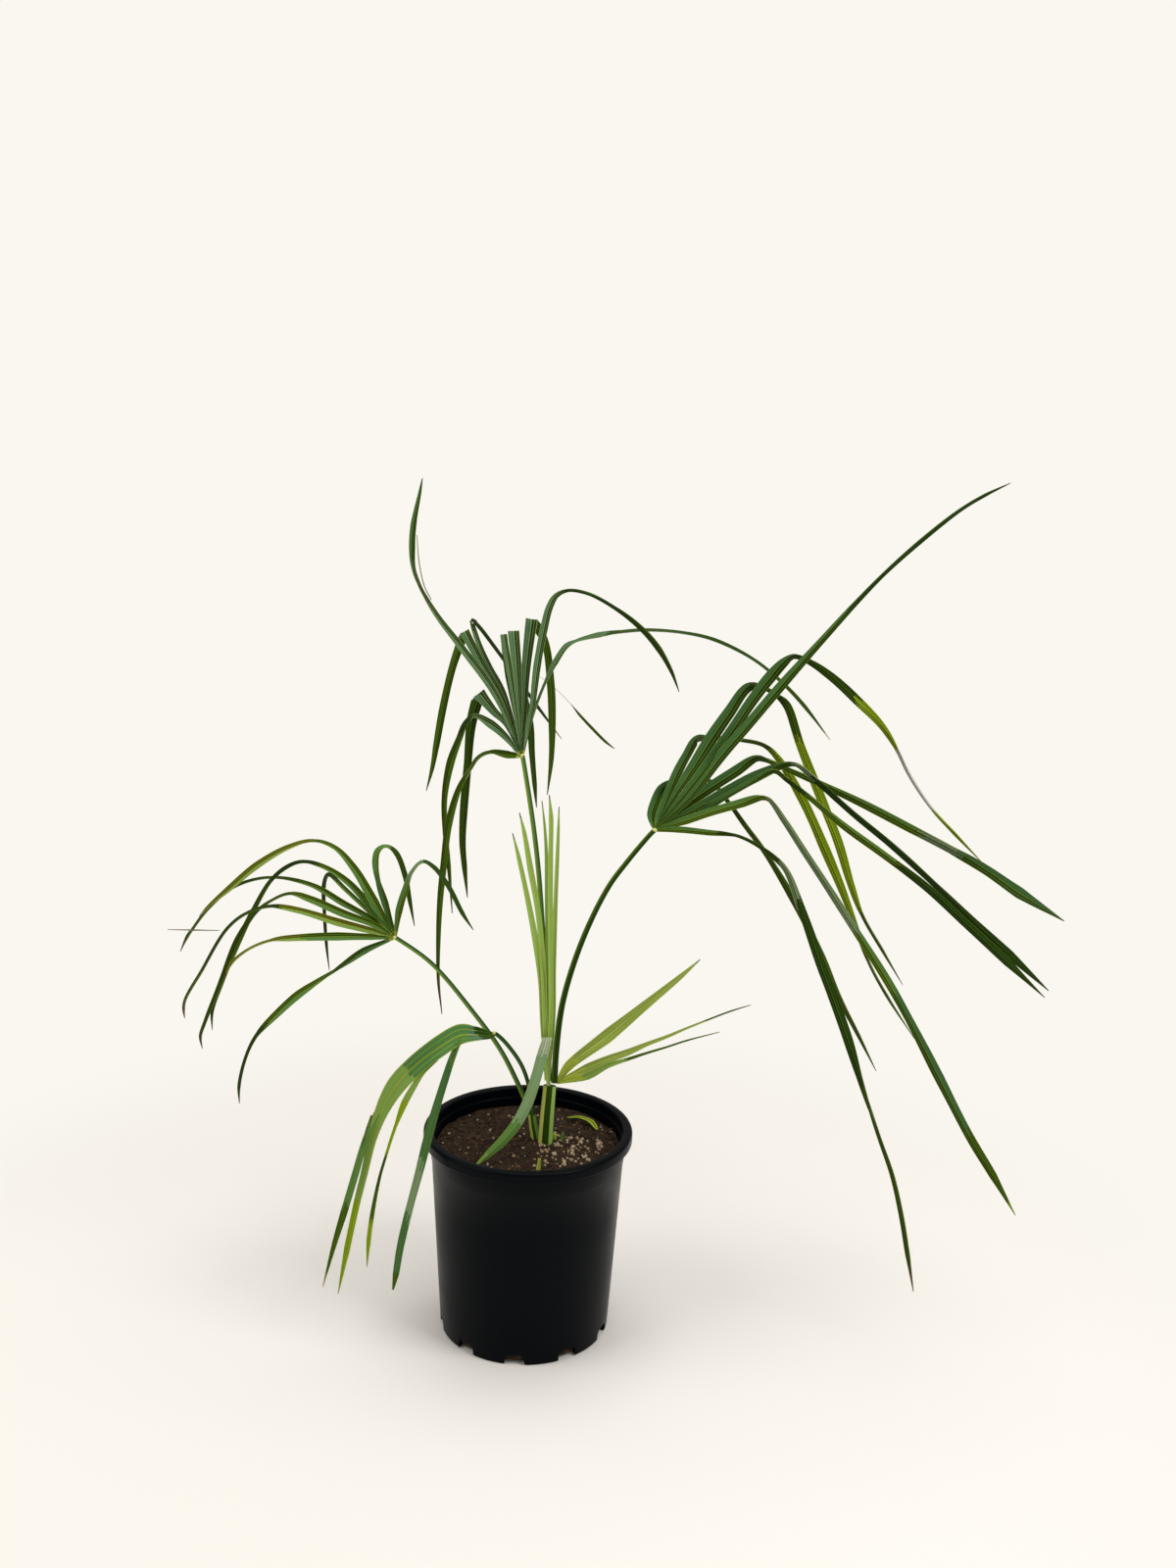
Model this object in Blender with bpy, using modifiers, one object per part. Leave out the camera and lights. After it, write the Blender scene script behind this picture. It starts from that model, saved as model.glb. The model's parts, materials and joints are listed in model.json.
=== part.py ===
"""Young cabbage palmetto in its nursery pot, as separate solids at real size.

The pot stands on the ground plane with its underside's centre at the origin,
+X to the viewer's right, +Y away from the viewer and +Z up.
Every fan leaf is one solid of rising blades round its hub, and each blade's
hanging end beyond the crest is a solid of its own.
"""
import math
from dataclasses import dataclass

import bmesh
import bpy
from mathutils import Vector

MM = 0.001
GAP = 0.3 * MM

# Pot: a two-gallon nursery can of moulded plastic
POT_HEIGHT = 218 * MM
POT_FOOT_RADIUS = 88.5 * MM
POT_NECK_RADIUS = 100.4 * MM
POT_NECK_HEIGHT = 196 * MM
POT_RIM_RADIUS = 108 * MM
POT_LIP_HEIGHT = 11 * MM
POT_MOUTH_RADIUS = 98 * MM
POT_WALL = 2.4 * MM
POT_FLOOR = 3.0 * MM
POT_BAND_HEIGHT = 188 * MM
POT_BAND_STEP = 0.6 * MM
POT_LEDGE_HEIGHT = 207.5 * MM
POT_LEDGE_STEP = 1.4 * MM
POT_RIM_ROUND = 3.0 * MM
POT_MOUTH_ROUND = 2.0 * MM
POT_LIP_ROUND = 1.2 * MM
POT_FOOT_ROUND = 2.5 * MM
POT_FLOOR_ROUND = 2.0 * MM
POT_SIDES = 40
POT_COLOUR = (0.012, 0.014, 0.017)
POT_ROUGHNESS = 0.4

# Drainage notches: arches cut through the foot of the wall
NOTCH_COUNT = 10
NOTCH_FIRST_ANGLE = -93.6
NOTCH_WIDTH = 20 * MM
NOTCH_HEIGHT = 12.5 * MM
NOTCH_CORNER = 6 * MM
NOTCH_DEPTH = 16 * MM
NOTCH_BELOW_FOOT = 2 * MM

# Potting mix
SOIL_TOP = 201 * MM
SOIL_CLEARANCE = 0.8 * MM
SOIL_COLOUR = (0.06, 0.035, 0.02)
SOIL_ROUGHNESS = 0.95

# Blades
BLADE_STEPS = 2
BLADE_THICKNESS = 1.8 * MM
TAIL_GAP = 0.7 * MM
FOLD_GAP = Vector((0.0, 2.4 * MM, 0.0))

# Where the photo was taken from: a pinhole fitted to the pot's rim, band and foot
EYE = Vector((0.051, -1.402, 0.873))
PITCH = math.radians(11.73)
ROLL = math.radians(1.74)
FOCAL_PIXELS = 1483.0
PHOTO_MIDDLE = Vector((600.0, 800.0))
AHEAD = Vector((0.0, math.cos(PITCH), -math.sin(PITCH)))
LEVEL_UP = Vector((0.0, math.sin(PITCH), math.cos(PITCH)))
RIGHT = Vector((1.0, 0.0, 0.0)) * math.cos(ROLL) + LEVEL_UP * math.sin(ROLL)
UP = RIGHT.cross(AHEAD)

LEAF_ROUGHNESS = 0.45

PLANT = "potted_palmetto"


@dataclass(frozen=True)
class Blade:
    """One leaf segment, as it was read off the photo.

    sights holds (x, y, width) in pixels of the photo, from the hub, knot 0, outwards.
    crest is the knot where the hanging end begins.
    back is how far behind the hub the crest, the next knot and the last one lie, in mm.
    A free blade starts at its first sight, where it splits off another.
    A blade that goes over folds flat at its crest.
    A blade that stops at a knot has others that split off it there.
    """

    sights: tuple
    crest: int
    back: tuple
    free: bool = False
    over: bool = False
    stops: int = 0


@dataclass(frozen=True)
class Leaf:
    """A fan of blades round one hub, the hub in millimetres from the pot's foot."""

    hub: tuple
    knob: float
    root_width: float
    blades: tuple
    colour: tuple


CENTRE_LEAF = Leaf(
    hub=(-17, 60, 596),
    knob=4.0,
    root_width=3,
    colour=(0.05, 0.14, 0.06),
    blades=(
        Blade(((506, 710, 7), (446, 628, 5.5), (430, 601, 3), (422, 580, 4), (420.5, 558, 6.3),
               (422, 535, 6.3), (431, 488, 1.5)),
              3, (15, 18, 30)),
        Blade(((512, 713, 6), (474, 644.5, 9.5), (462, 680, 8), (445.3, 760, 6.6), (435, 807, 1.5)),
              2, (25, 38, 50), over=True),
        Blade(((513, 706, 6), (487.5, 654, 5.5), (482, 634, 3), (489, 640, 3), (573, 754, 1.5)),
              3, (45, 58, 85)),
        Blade(((516, 738, 6), (489, 707.5, 12.5), (481, 738, 10.5), (473, 830, 8), (472, 860, 7),
               (477, 916, 1.5)),
              2, (15, 30, 42), over=True),
        Blade(((515, 751, 7), (501, 739, 9), (484, 730, 3), (475, 738, 5.5), (459.5, 779, 8),
               (453.5, 815, 6), (461.5, 932, 1.5)),
              3, (8, 10, 20)),
        Blade(((518, 770, 8), (500, 767, 2.6), (488, 772, 2.5), (469, 803, 5.2), (458, 840, 7.5),
               (447.3, 960, 4.8), (451, 1035, 1.5)),
              2, (-4, -8, -15)),
        Blade(((513.8, 647.5, 7), (531, 760, 1.5)),
              1, (18, 36, 36), over=True),
        Blade(((524, 644, 11.5), (530, 690, 8), (541, 740, 7), (547.5, 824, 1.5)),
              1, (20, 34, 50), over=True),
        Blade(((537, 680, 9.5), (542.5, 632, 12), (556, 655, 8), (562, 698, 8), (562.5, 775, 5.4),
               (558.5, 811, 1.5)),
              2, (35, 48, 62), over=True),
        Blade(((561, 619, 7.2), (568, 607.5, 5), (580, 602.7, 2.5), (602, 607, 2.5), (655, 642, 5),
               (672, 662, 6), (693, 706, 1.5)),
              3, (15, 17, 30)),
        Blade(((557, 695, 2.8), (587.5, 654, 2.6), (662, 642.3, 2.5), (730, 653, 3), (770, 673, 2.5),
               (800, 698, 3), (847, 755, 1.5)),
              2, (40, 57, 110)),
        Blade(((583, 720, 2.5), (618, 757, 2.8), (627, 764, 1.5)),
              0, (90, 110, 115), free=True),
    ),
)

RIGHT_LEAF = Leaf(
    hub=(121, 55, 524),
    knob=4.8,
    root_width=3,
    colour=(0.03, 0.12, 0.03),
    blades=(
        Blade(((664.5, 832, 9), (669.5, 817, 11), (684, 800, 8), (724, 797, 4), (780, 869, 5),
               (808, 915, 7), (894, 1093, 1.5)),
              3, (22, 41, 110)),
        Blade(((709.5, 756, 8.5), (755, 755.5, 3.2), (780, 761, 4), (794, 774, 6.5), (842, 867, 10),
               (886, 982, 2.5), (933, 1060, 1.5)),
              1, (26, 46, 95)),
        Blade(((724, 756, 13), (763, 702, 10.5), (780, 703, 2.8), (803, 720, 8), (855.5, 860, 9.8),
               (880, 935, 3), (921, 1005, 1.5)),
              2, (28, 38, 80)),
        Blade(((801, 675.5, 9), (813, 670.5, 3.6), (827, 676, 6), (878, 718, 9.2), (900, 741, 7.2),
               (950, 825, 2.5), (1002, 880, 1.5)),
              1, (18, 26, 45)),
        Blade(((702, 815, 9), (735, 772, 11), (800, 696.5, 9.5), (870, 619, 5), (940, 552, 4.4),
               (980, 520.5, 3.6), (1031, 493, 1.5)),
              3, (4, 6, 10)),
        Blade(((725, 803.5, 11.5), (772, 774, 7), (803, 785, 4.6), (880, 820, 8), (970, 867, 8),
               (1040, 911, 12.5), (1086, 940, 1.5)),
              2, (8, 10, 15)),
        Blade(((735, 812, 12), (770, 793, 12), (803, 780, 6), (813, 781, 3.5), (910, 863, 6),
               (1030, 974, 9.5), (1070, 1011, 1.5)),
              3, (-3, -5, -12)),
        Blade(((707, 834, 8), (765, 799, 5), (790, 787, 4), (945, 905, 7.6), (1028, 982, 8),
               (1066, 1018, 1.5)),
              3, (-16, -28, -36)),
        Blade(((725, 828.5, 9), (777, 814, 5), (785, 816.5, 4), (800, 837, 6.4), (905, 1000, 8.5),
               (1013.5, 1200, 8), (1036, 1240, 1.5)),
              2, (-24, -28, -62)),
        Blade(((692, 846.5, 6.5), (750, 852.5, 2.6), (770, 861, 3), (802, 888, 5.5), (818, 928, 8.4),
               (910.5, 1200, 4.8), (932, 1318, 1.5)),
              2, (-26, -30, -80)),
    ),
)

LEFT_LEAF = Leaf(
    hub=(-146, 55, 400),
    knob=3.5,
    root_width=3,
    colour=(0.06, 0.18, 0.04),
    blades=(
        Blade(((372, 970, 7), (352, 983, 5), (303, 1016, 8.6), (262, 1056, 3.6), (251, 1078, 3.2),
               (243.8, 1108, 2.8), (244.3, 1126, 1.5)),
              2, (-20, -29, -50)),
        Blade(((345, 955.5, 8.6), (300, 957, 6.6), (275, 959.5, 2.5), (252, 969, 2.5), (235, 984, 2.5),
               (230, 998, 1.5)),
              2, (-12, -13, -28)),
        Blade(((305, 929, 6.6), (275, 924.5, 2.5), (250, 932, 2.5), (231, 948, 2.7), (188.5, 1020, 2.5),
               (187, 1030, 2.5), (188.5, 1039, 1.5)),
              2, (-4, -5, -10)),
        Blade(((380, 943, 6.5), (296, 911.5, 2.5), (276, 919, 2.5), (259, 933, 4), (242, 960, 6),
               (209, 1043, 3), (206.5, 1070, 1.5)),
              2, (4, 4, 4)),
        Blade(((378, 937, 5.5), (318, 903, 4.4), (275, 895, 2.5), (240, 904, 2.6), (213, 926, 2.5),
               (190, 957, 2.8), (184, 971, 1.5)),
              3, (32, 34, 50)),
        Blade(((336, 892.5, 3), (330.5, 904, 4.2), (336, 990, 1.5)),
              1, (44, 58, 66)),
        Blade(((355, 900, 6.8), (310, 879, 2.6), (292, 885, 4), (276, 899, 4), (258, 930, 5),
               (226, 1003, 4.6), (216.5, 1051, 1.5)),
              2, (12, 18, 28)),
        Blade(((382, 921, 9.5), (362, 887, 8), (342, 865, 4.6), (320, 857.5, 2.5), (295, 864, 5),
               (262, 883, 7.6), (203, 935, 1.5)),
              4, (8, 8, 20)),
        Blade(((386, 900, 4.6), (383, 880, 6.5), (385.5, 868, 6), (394, 863, 2.6), (404, 870, 5.4),
               (413, 892, 5.4), (423, 945, 1.5)),
              4, (6, 8, 14)),
        Blade(((407, 930, 7.4), (413, 909, 6), (420, 890, 3.6), (431, 879, 3), (443, 885, 4.6),
               (458, 905, 4.8), (483, 949, 1.5)),
              4, (-14, -22, -34)),
    ),
)

STRAP_LEAF = Leaf(
    hub=(-36, -18, 326),
    knob=3.1,
    root_width=3,
    colour=(0.16, 0.32, 0.06),
    blades=(
        Blade(((470, 1055, 20), (448, 1068, 22), (424, 1087, 21), (404, 1108, 19), (389, 1135, 14)),
              2, (-37, -40, -42), stops=5),
        Blade(((380, 1143, 6), (351, 1237, 7.6), (329.5, 1313, 1.5)),
              0, (-34, -42, -45), free=True),
        Blade(((387, 1141, 6), (380, 1162, 9), (364, 1228, 6.3), (345, 1320, 1.5)),
              0, (-41, -46, -52), free=True),
        Blade(((446, 1081, 3), (432, 1094, 4.4), (422, 1109, 6.4), (413, 1125, 7), (404, 1148, 3),
               (387, 1203, 3), (380, 1238, 4), (374.5, 1293, 1.5)),
              0, (-46, -48, -60), free=True),
        Blade(((470, 1060, 4), (462, 1078, 6.4), (440, 1148, 9), (416, 1240, 8), (404, 1300, 6.6),
               (401, 1316, 1.5)),
              0, (-42, -46, -72), free=True),
    ),
)

SPEAR_LEAF = Leaf(
    hub=(18, 3, 268),
    knob=4.0,
    root_width=3,
    colour=(0.25, 0.42, 0.10),
    blades=(
        Blade(((552, 1000, 6.4), (538, 915, 5.6), (523, 850, 1.5)),
              3, (14, 14, 14)),
        Blade(((554, 985, 6), (549, 930, 6), (530, 829, 1.5)),
              3, (16, 16, 16)),
        Blade(((557.5, 870, 3.6), (553, 817, 1.5)),
              2, (18, 18, 18)),
        Blade(((562, 1040, 5), (562.3, 835, 5), (560.5, 811, 1.5)),
              3, (13, 13, 13)),
        Blade(((564.5, 1040, 4.6), (570.5, 823, 1.5)),
              2, (16, 16, 16)),
    ),
)

LOW_LEAF = Leaf(
    hub=(28.5, 14, 261.5),
    knob=4.0,
    root_width=3,
    colour=(0.30, 0.48, 0.08),
    blades=(
        Blade(((580, 1088, 5), (620, 1057, 13.5), (714.5, 979, 1.5)),
              3, (30, 30, 30)),
        Blade(((620, 1081, 7.5), (766, 1025.5, 1.5)),
              2, (34, 34, 34)),
        Blade(((600, 1098, 4), (620, 1087.5, 5.5), (734.5, 1053, 1.5)),
              3, (22, 22, 22)),
    ),
)

FRONT_LEAF = Leaf(
    hub=(20, -4, 265),
    knob=2.2,
    root_width=4,
    colour=(0.16, 0.28, 0.14),
    blades=(
        Blade(((558.3, 1058.5, 9.5), (538, 1126, 11.2), (526, 1148, 10.4), (512, 1165, 9.4),
               (485, 1189.5, 1.5)),
              1, (1, -24, -57), over=True),
    ),
)

LEAVES = {
    "centre_fan": CENTRE_LEAF,
    "right_fan": RIGHT_LEAF,
    "left_fan": LEFT_LEAF,
    "strap_leaf": STRAP_LEAF,
    "spear_leaf": SPEAR_LEAF,
    "low_leaf": LOW_LEAF,
    "front_leaf": FRONT_LEAF,
}

# Stalks: way in millimetres from the pot's foot, and radius at either end
STALKS = {
    "crown_stem": (((18, -6, 201.4), (18, -6, 206), (19, -2, 230), (21, 4, 262)), (7.6, 6.8)),
    "left_sheath": (((7.5, 2.5, 201.4), (7.3, 2.7, 205), (5, 4, 216), (2.8, 5, 228.5)), (4.6, 4.0)),
    "centre_stalk": (((19.5, 12, 263.5), (18.5, 19, 308), (17, 22, 340), (12, 28, 388),
                      (3, 39, 481), (-5, 48, 535), (-15.5, 59, 590)), (2.6, 2.1)),
    "right_stalk": (((25.5, 7, 263.5), (26.5, 16, 297), (32, 24, 347), (50, 33, 410),
                     (75, 42, 465), (94, 47, 492), (117, 54, 520)), (3.2, 2.2)),
    "left_stalk": (((1, 7.8, 230), (-8, 12, 250), (-31, 20, 292), (-62, 29, 331),
                    (-106, 42, 377), (-142, 54, 398)), (2.4, 1.9)),
    "strap_stalk": (((4.6, 2.6, 230), (-1, -4, 267), (-9, -8, 290), (-24, -14, 314),
                     (-33, -17, 324)), (2.0, 2.0)),
}
STALK_COLOUR = (0.10, 0.20, 0.05)
STALK_ROUGHNESS = 0.5
STALK_STEPS = 2

# Small shoots and a fallen scrap of leaf on the potting mix
SHOOTS = {
    "pale_shoot": ((13, -58, 201.4), (14, -57, 210), 2.4),
    "cut_stub": ((27, 3, 201.4), (27.5, 2.5, 209), 3.0),
    "side_shoot": ((34.5, 0, 202), (36, 1.5, 211), 2.2),
}
SHOOT_TIP_SHARE = 0.6
SHOOT_COLOUR = (0.42, 0.45, 0.10)
FALLEN_SCRAP = ((40, 56, 203), (52, 53, 205), (64, 44, 205), (72, 28, 203))
FALLEN_WIDTH = 6.5 * MM
FALLEN_END_SHARE = 0.5


def clear_scene():
    """Remove every object the file opened with."""
    for item in list(bpy.data.objects):
        bpy.data.objects.remove(item, do_unlink=True)


def new_collection(name):
    """Return a new collection linked to the scene."""
    group = bpy.data.collections.new(name)
    bpy.context.scene.collection.children.link(group)
    return group


def dress(item, colour, roughness):
    """Give an object its own plain material."""
    finish = bpy.data.materials.new(item.name + "_finish")
    finish.use_nodes = True
    shader = finish.node_tree.nodes["Principled BSDF"]
    shader.inputs["Base Color"].default_value = (*colour, 1.0)
    shader.inputs["Roughness"].default_value = roughness
    shader.inputs["Metallic"].default_value = 0.0
    item.data.materials.append(finish)


def object_from_bmesh(name, shape, group):
    """Turn a bmesh into a linked object with its faces pointing out."""
    bmesh.ops.recalc_face_normals(shape, faces=shape.faces)
    mesh = bpy.data.meshes.new(name)
    shape.to_mesh(mesh)
    shape.free()
    item = bpy.data.objects.new(name, mesh)
    group.objects.link(item)
    return item


def hide_guide(item):
    """Mark a cutter or a guide as construction only."""
    item.hide_render = True
    item.display_type = "WIRE"


def spline(knots, steps):
    """Return points on the centripetal curve through the knots, steps to each span."""
    first = knots[0] * 2 - knots[1]
    last = knots[-1] * 2 - knots[-2]
    chain = [first, *knots, last]
    points = [knots[0].copy()]
    for i in range(1, len(chain) - 2):
        p0, p1, p2, p3 = chain[i - 1:i + 3]
        t1 = math.sqrt((p1 - p0).length)
        t2 = t1 + math.sqrt((p2 - p1).length)
        t3 = t2 + math.sqrt((p3 - p2).length)
        for step in range(1, steps + 1):
            t = t1 + (t2 - t1) * step / steps
            a1 = p0.lerp(p1, t / t1)
            a2 = p1.lerp(p2, (t - t1) / (t2 - t1))
            a3 = p2.lerp(p3, (t - t2) / (t3 - t2))
            b1 = a1.lerp(a2, t / t2)
            b2 = a2.lerp(a3, (t - t1) / (t3 - t1))
            points.append(b1.lerp(b2, (t - t1) / (t2 - t1)))
    return points


def run_lengths(points):
    """Return the length along the points up to each of them."""
    total = 0.0
    lengths = [0.0]
    for a, b in zip(points, points[1:]):
        total += (b - a).length
        lengths.append(total)
    return lengths


def read_track(track, place):
    """Read (place, value) pairs at a place, held beyond either end."""
    if place <= track[0][0]:
        return track[0][1]
    for (start, low), (end, high) in zip(track, track[1:]):
        if place <= end:
            return low + (high - low) * (place - start) / (end - start)
    return track[-1][1]


def pixels_per_metre(point):
    """Return how many pixels of the photo a metre fills at a point."""
    return FOCAL_PIXELS / (point - EYE).dot(AHEAD)


def seen_at(point):
    """Return the pixel of the photo that a point is seen at."""
    away = (point - EYE) * pixels_per_metre(point)
    return PHOTO_MIDDLE + Vector((away.dot(RIGHT), -away.dot(UP)))


def placed(pixel, depth):
    """Return the point that is seen at a pixel and lies at a depth along +Y."""
    off = (pixel - PHOTO_MIDDLE) / FOCAL_PIXELS
    ray = AHEAD + RIGHT * off.x - UP * off.y
    return EYE + ray * ((depth - EYE.y) / ray.y)


def blade_knots(leaf, blade):
    """Place a blade's sights in space, hub first, and give its width there against the knot."""
    hub = Vector(leaf.hub) * MM
    seen = [] if blade.free else [seen_at(hub)]
    seen += [Vector(sight[:2]) for sight in blade.sights]
    lengths = run_lengths(seen)
    crest, after = blade.crest, min(blade.crest + 1, len(seen) - 1)
    marks = [(lengths[crest], blade.back[0])]
    if crest:
        marks.insert(0, (0.0, 0.0))
    if after > crest:
        marks.append((lengths[after], blade.back[1]))
    if lengths[-1] > marks[-1][0]:
        marks.append((lengths[-1], blade.back[2]))
    knots = [placed(pixel, hub.y + read_track(marks, length) * MM)
             for pixel, length in zip(seen, lengths)]
    first = len(seen) - len(blade.sights)
    widths = [(0, leaf.root_width * MM)] if first else []
    for number, sight in enumerate(blade.sights, start=first):
        widths.append((number, sight[2] / pixels_per_metre(knots[number])))
    return knots, widths


def runs_along(points):
    """Return the direction of travel at each point."""
    last = len(points) - 1
    return [(points[min(i + 1, last)] - points[max(i - 1, 0)]).normalized() for i in range(last + 1)]


def blade_stations(leaf, blade):
    """Return the stations of a blade's rising part and of its hanging end, either of them empty.

    A station is its point, the run, the direction to the side and half the width.
    """
    knots, widths = blade_knots(leaf, blade)
    points = spline(knots, BLADE_STEPS)
    split = (blade.stops or blade.crest) * BLADE_STEPS
    found = []
    for stretch in (slice(0, split + 1), slice(split, None)):
        runs = runs_along(points[stretch]) if blade.over else runs_along(points)[stretch]
        stations = []
        for step, (point, run) in enumerate(zip(points[stretch], runs), start=stretch.start):
            place = step / BLADE_STEPS
            side = run.cross(EYE - point).normalized()
            stations.append((point, run, side, read_track(widths, place) / 2))
        found.append(stations if len(stations) > 1 else [])
    rising, hanging = found
    if hanging:
        point, run, side, half = hanging[0]
        away = run * TAIL_GAP
        if blade.over:
            away = FOLD_GAP if blade.back[1] > blade.back[0] else -FOLD_GAP
        hanging[0] = (point + away, run, side, half)
    return rising, hanging


def blade_solid(name, stations, group):
    """Loft a thin lens section along a blade's stations."""
    shape = bmesh.new()
    rings = []
    for point, run, side, half in stations:
        thick = min(BLADE_THICKNESS, half) / 2
        face = side.cross(run)
        corners = (point - side * half, point + face * thick, point + side * half, point - face * thick)
        rings.append([shape.verts.new(corner) for corner in corners])
    for ring, following in zip(rings, rings[1:]):
        for i in range(4):
            j = (i + 1) % 4
            shape.faces.new((ring[i], ring[j], following[j], following[i]))
    shape.faces.new(rings[0])
    shape.faces.new(rings[-1])
    return object_from_bmesh(name, shape, group)


def build_leaf(name, leaf, plant, guides_parent):
    """Build a leaf's rising blades as one solid, and each hanging end beyond as another."""
    guides = bpy.data.collections.new(name + "_guides")
    guides_parent.children.link(guides)
    for number, blade in enumerate(leaf.blades, start=1):
        rising, hanging = blade_stations(leaf, blade)
        if rising:
            hide_guide(blade_solid(f"{name}_rise_{number}", rising, guides))
        if hanging:
            tail = blade_solid(f"{name}_tail_{number}", hanging, plant)
            dress(tail, leaf.colour, LEAF_ROUGHNESS)
    bpy.ops.mesh.primitive_ico_sphere_add(subdivisions=2, radius=leaf.knob * MM,
                                          location=Vector(leaf.hub) * MM)
    knob = bpy.context.object
    joined = knob.modifiers.new("blades", "BOOLEAN")
    joined.operation = "UNION"
    joined.operand_type = "COLLECTION"
    joined.collection = guides
    joined.solver = "EXACT"
    shape = bmesh.new()
    shape.from_object(knob, bpy.context.evaluated_depsgraph_get())
    shape.transform(knob.matrix_world)
    drop_inner_shells(shape)
    bpy.data.objects.remove(knob, do_unlink=True)
    dress(object_from_bmesh(name, shape, plant), leaf.colour, LEAF_ROUGHNESS)


def drop_inner_shells(shape):
    """Keep a bmesh's outer skin and remove the pockets closed in between its blades."""
    unseen = set(shape.verts)
    shells = []
    while unseen:
        shell = {unseen.pop()}
        edge_of_shell = list(shell)
        while edge_of_shell:
            vert = edge_of_shell.pop()
            for edge in vert.link_edges:
                other = edge.other_vert(vert)
                if other in unseen:
                    unseen.remove(other)
                    shell.add(other)
                    edge_of_shell.append(other)
        shells.append(shell)
    outer = max(shells, key=len)
    inner = [vert for vert in shape.verts if vert not in outer]
    bmesh.ops.delete(shape, geom=inner, context="VERTS")


def tube(name, way, radii, plant, colour):
    """Sweep a round section that tapers from one radius to the other along a way."""
    knots = [Vector(point) * MM for point in way]
    points = spline(knots, STALK_STEPS)
    lengths = run_lengths(points)
    curve = bpy.data.curves.new(name, "CURVE")
    curve.dimensions = "3D"
    curve.bevel_depth = MM
    curve.bevel_resolution = 2
    curve.use_fill_caps = True
    line = curve.splines.new("POLY")
    line.points.add(len(points) - 1)
    for place, point, length in zip(line.points, points, lengths):
        place.co = (*point, 1.0)
        place.radius = radii[0] + (radii[1] - radii[0]) * length / lengths[-1]
    item = bpy.data.objects.new(name, curve)
    plant.objects.link(item)
    dress(item, colour, STALK_ROUGHNESS)


def turned(name, profile, group):
    """Turn a profile of (radius, height) points about the upright axis."""
    mesh = bpy.data.meshes.new(name)
    verts = [(radius, 0.0, height) for radius, height in profile]
    mesh.from_pydata(verts, [(i, i + 1) for i in range(len(verts) - 1)], [])
    item = bpy.data.objects.new(name, mesh)
    group.objects.link(item)
    screw = item.modifiers.new("turn", "SCREW")
    screw.angle = math.tau
    screw.steps = POT_SIDES
    screw.render_steps = POT_SIDES
    screw.use_merge_vertices = True
    screw.merge_threshold = 0.00005
    return item


def wall_radius(height):
    """Outer radius of the pot's plain wall at a height."""
    return POT_FOOT_RADIUS + (POT_NECK_RADIUS - POT_FOOT_RADIUS) * height / POT_NECK_HEIGHT


def inner_radius(height):
    """Inner radius of the pot's wall at a height below the ledge."""
    low = POT_FOOT_RADIUS - POT_WALL
    high = POT_MOUTH_RADIUS - POT_LEDGE_STEP
    return low + (high - low) * (height - POT_FLOOR) / (POT_LEDGE_HEIGHT - POT_FLOOR)


def pot_profile():
    """The pot's section, from the rim's top down the outside and up the inside."""
    lip_low = POT_HEIGHT - POT_LIP_HEIGHT
    band_radius = wall_radius(POT_BAND_HEIGHT)
    floor_high = POT_FLOOR + POT_FLOOR_ROUND
    return [
        (POT_MOUTH_RADIUS + POT_MOUTH_ROUND, POT_HEIGHT),
        (POT_RIM_RADIUS - POT_RIM_ROUND, POT_HEIGHT),
        (POT_RIM_RADIUS, POT_HEIGHT - POT_RIM_ROUND),
        (POT_RIM_RADIUS, lip_low + POT_LIP_ROUND),
        (POT_RIM_RADIUS - POT_LIP_ROUND, lip_low),
        (wall_radius(lip_low), lip_low),
        (band_radius, POT_BAND_HEIGHT),
        (band_radius - POT_BAND_STEP, POT_BAND_HEIGHT - POT_BAND_STEP),
        (POT_FOOT_RADIUS, POT_FOOT_ROUND),
        (POT_FOOT_RADIUS - POT_FOOT_ROUND, 0.0),
        (0.0, 0.0),
        (0.0, POT_FLOOR),
        (inner_radius(POT_FLOOR) - POT_FLOOR_ROUND, POT_FLOOR),
        (inner_radius(floor_high), floor_high),
        (inner_radius(POT_LEDGE_HEIGHT), POT_LEDGE_HEIGHT),
        (POT_MOUTH_RADIUS, POT_LEDGE_HEIGHT),
        (POT_MOUTH_RADIUS, POT_HEIGHT - POT_MOUTH_ROUND),
        (POT_MOUTH_RADIUS + POT_MOUTH_ROUND, POT_HEIGHT),
    ]


def notch_cutter(name, angle, group):
    """An arched block that stands across the foot of the wall."""
    shape = bmesh.new()
    bmesh.ops.create_cube(shape, size=1.0)
    for vert in shape.verts:
        vert.co.x = POT_FOOT_RADIUS + vert.co.x * NOTCH_DEPTH
        vert.co.y *= NOTCH_WIDTH
        vert.co.z = (NOTCH_HEIGHT - NOTCH_BELOW_FOOT) / 2 + vert.co.z * (NOTCH_HEIGHT + NOTCH_BELOW_FOOT)
    upper = [edge for edge in shape.edges
             if all(vert.co.z > 0 for vert in edge.verts)
             and abs(edge.verts[0].co.y - edge.verts[1].co.y) < MM]
    bmesh.ops.bevel(shape, geom=upper, offset=NOTCH_CORNER, segments=3, profile=0.5, affect="EDGES")
    cutter = object_from_bmesh(name, shape, group)
    cutter.rotation_euler.z = math.radians(angle)
    hide_guide(cutter)


def build_pot(plant, cutters):
    """The pot with its rolled rim and the drainage notches round its foot."""
    pot = turned("pot", pot_profile(), plant)
    notches = bpy.data.collections.new("notches")
    cutters.children.link(notches)
    for number in range(NOTCH_COUNT):
        angle = NOTCH_FIRST_ANGLE + number * 360 / NOTCH_COUNT
        notch_cutter(f"notch_{number + 1}", angle, notches)
    cut = pot.modifiers.new("notches", "BOOLEAN")
    cut.operation = "DIFFERENCE"
    cut.operand_type = "COLLECTION"
    cut.collection = notches
    cut.solver = "EXACT"
    dress(pot, POT_COLOUR, POT_ROUGHNESS)


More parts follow.
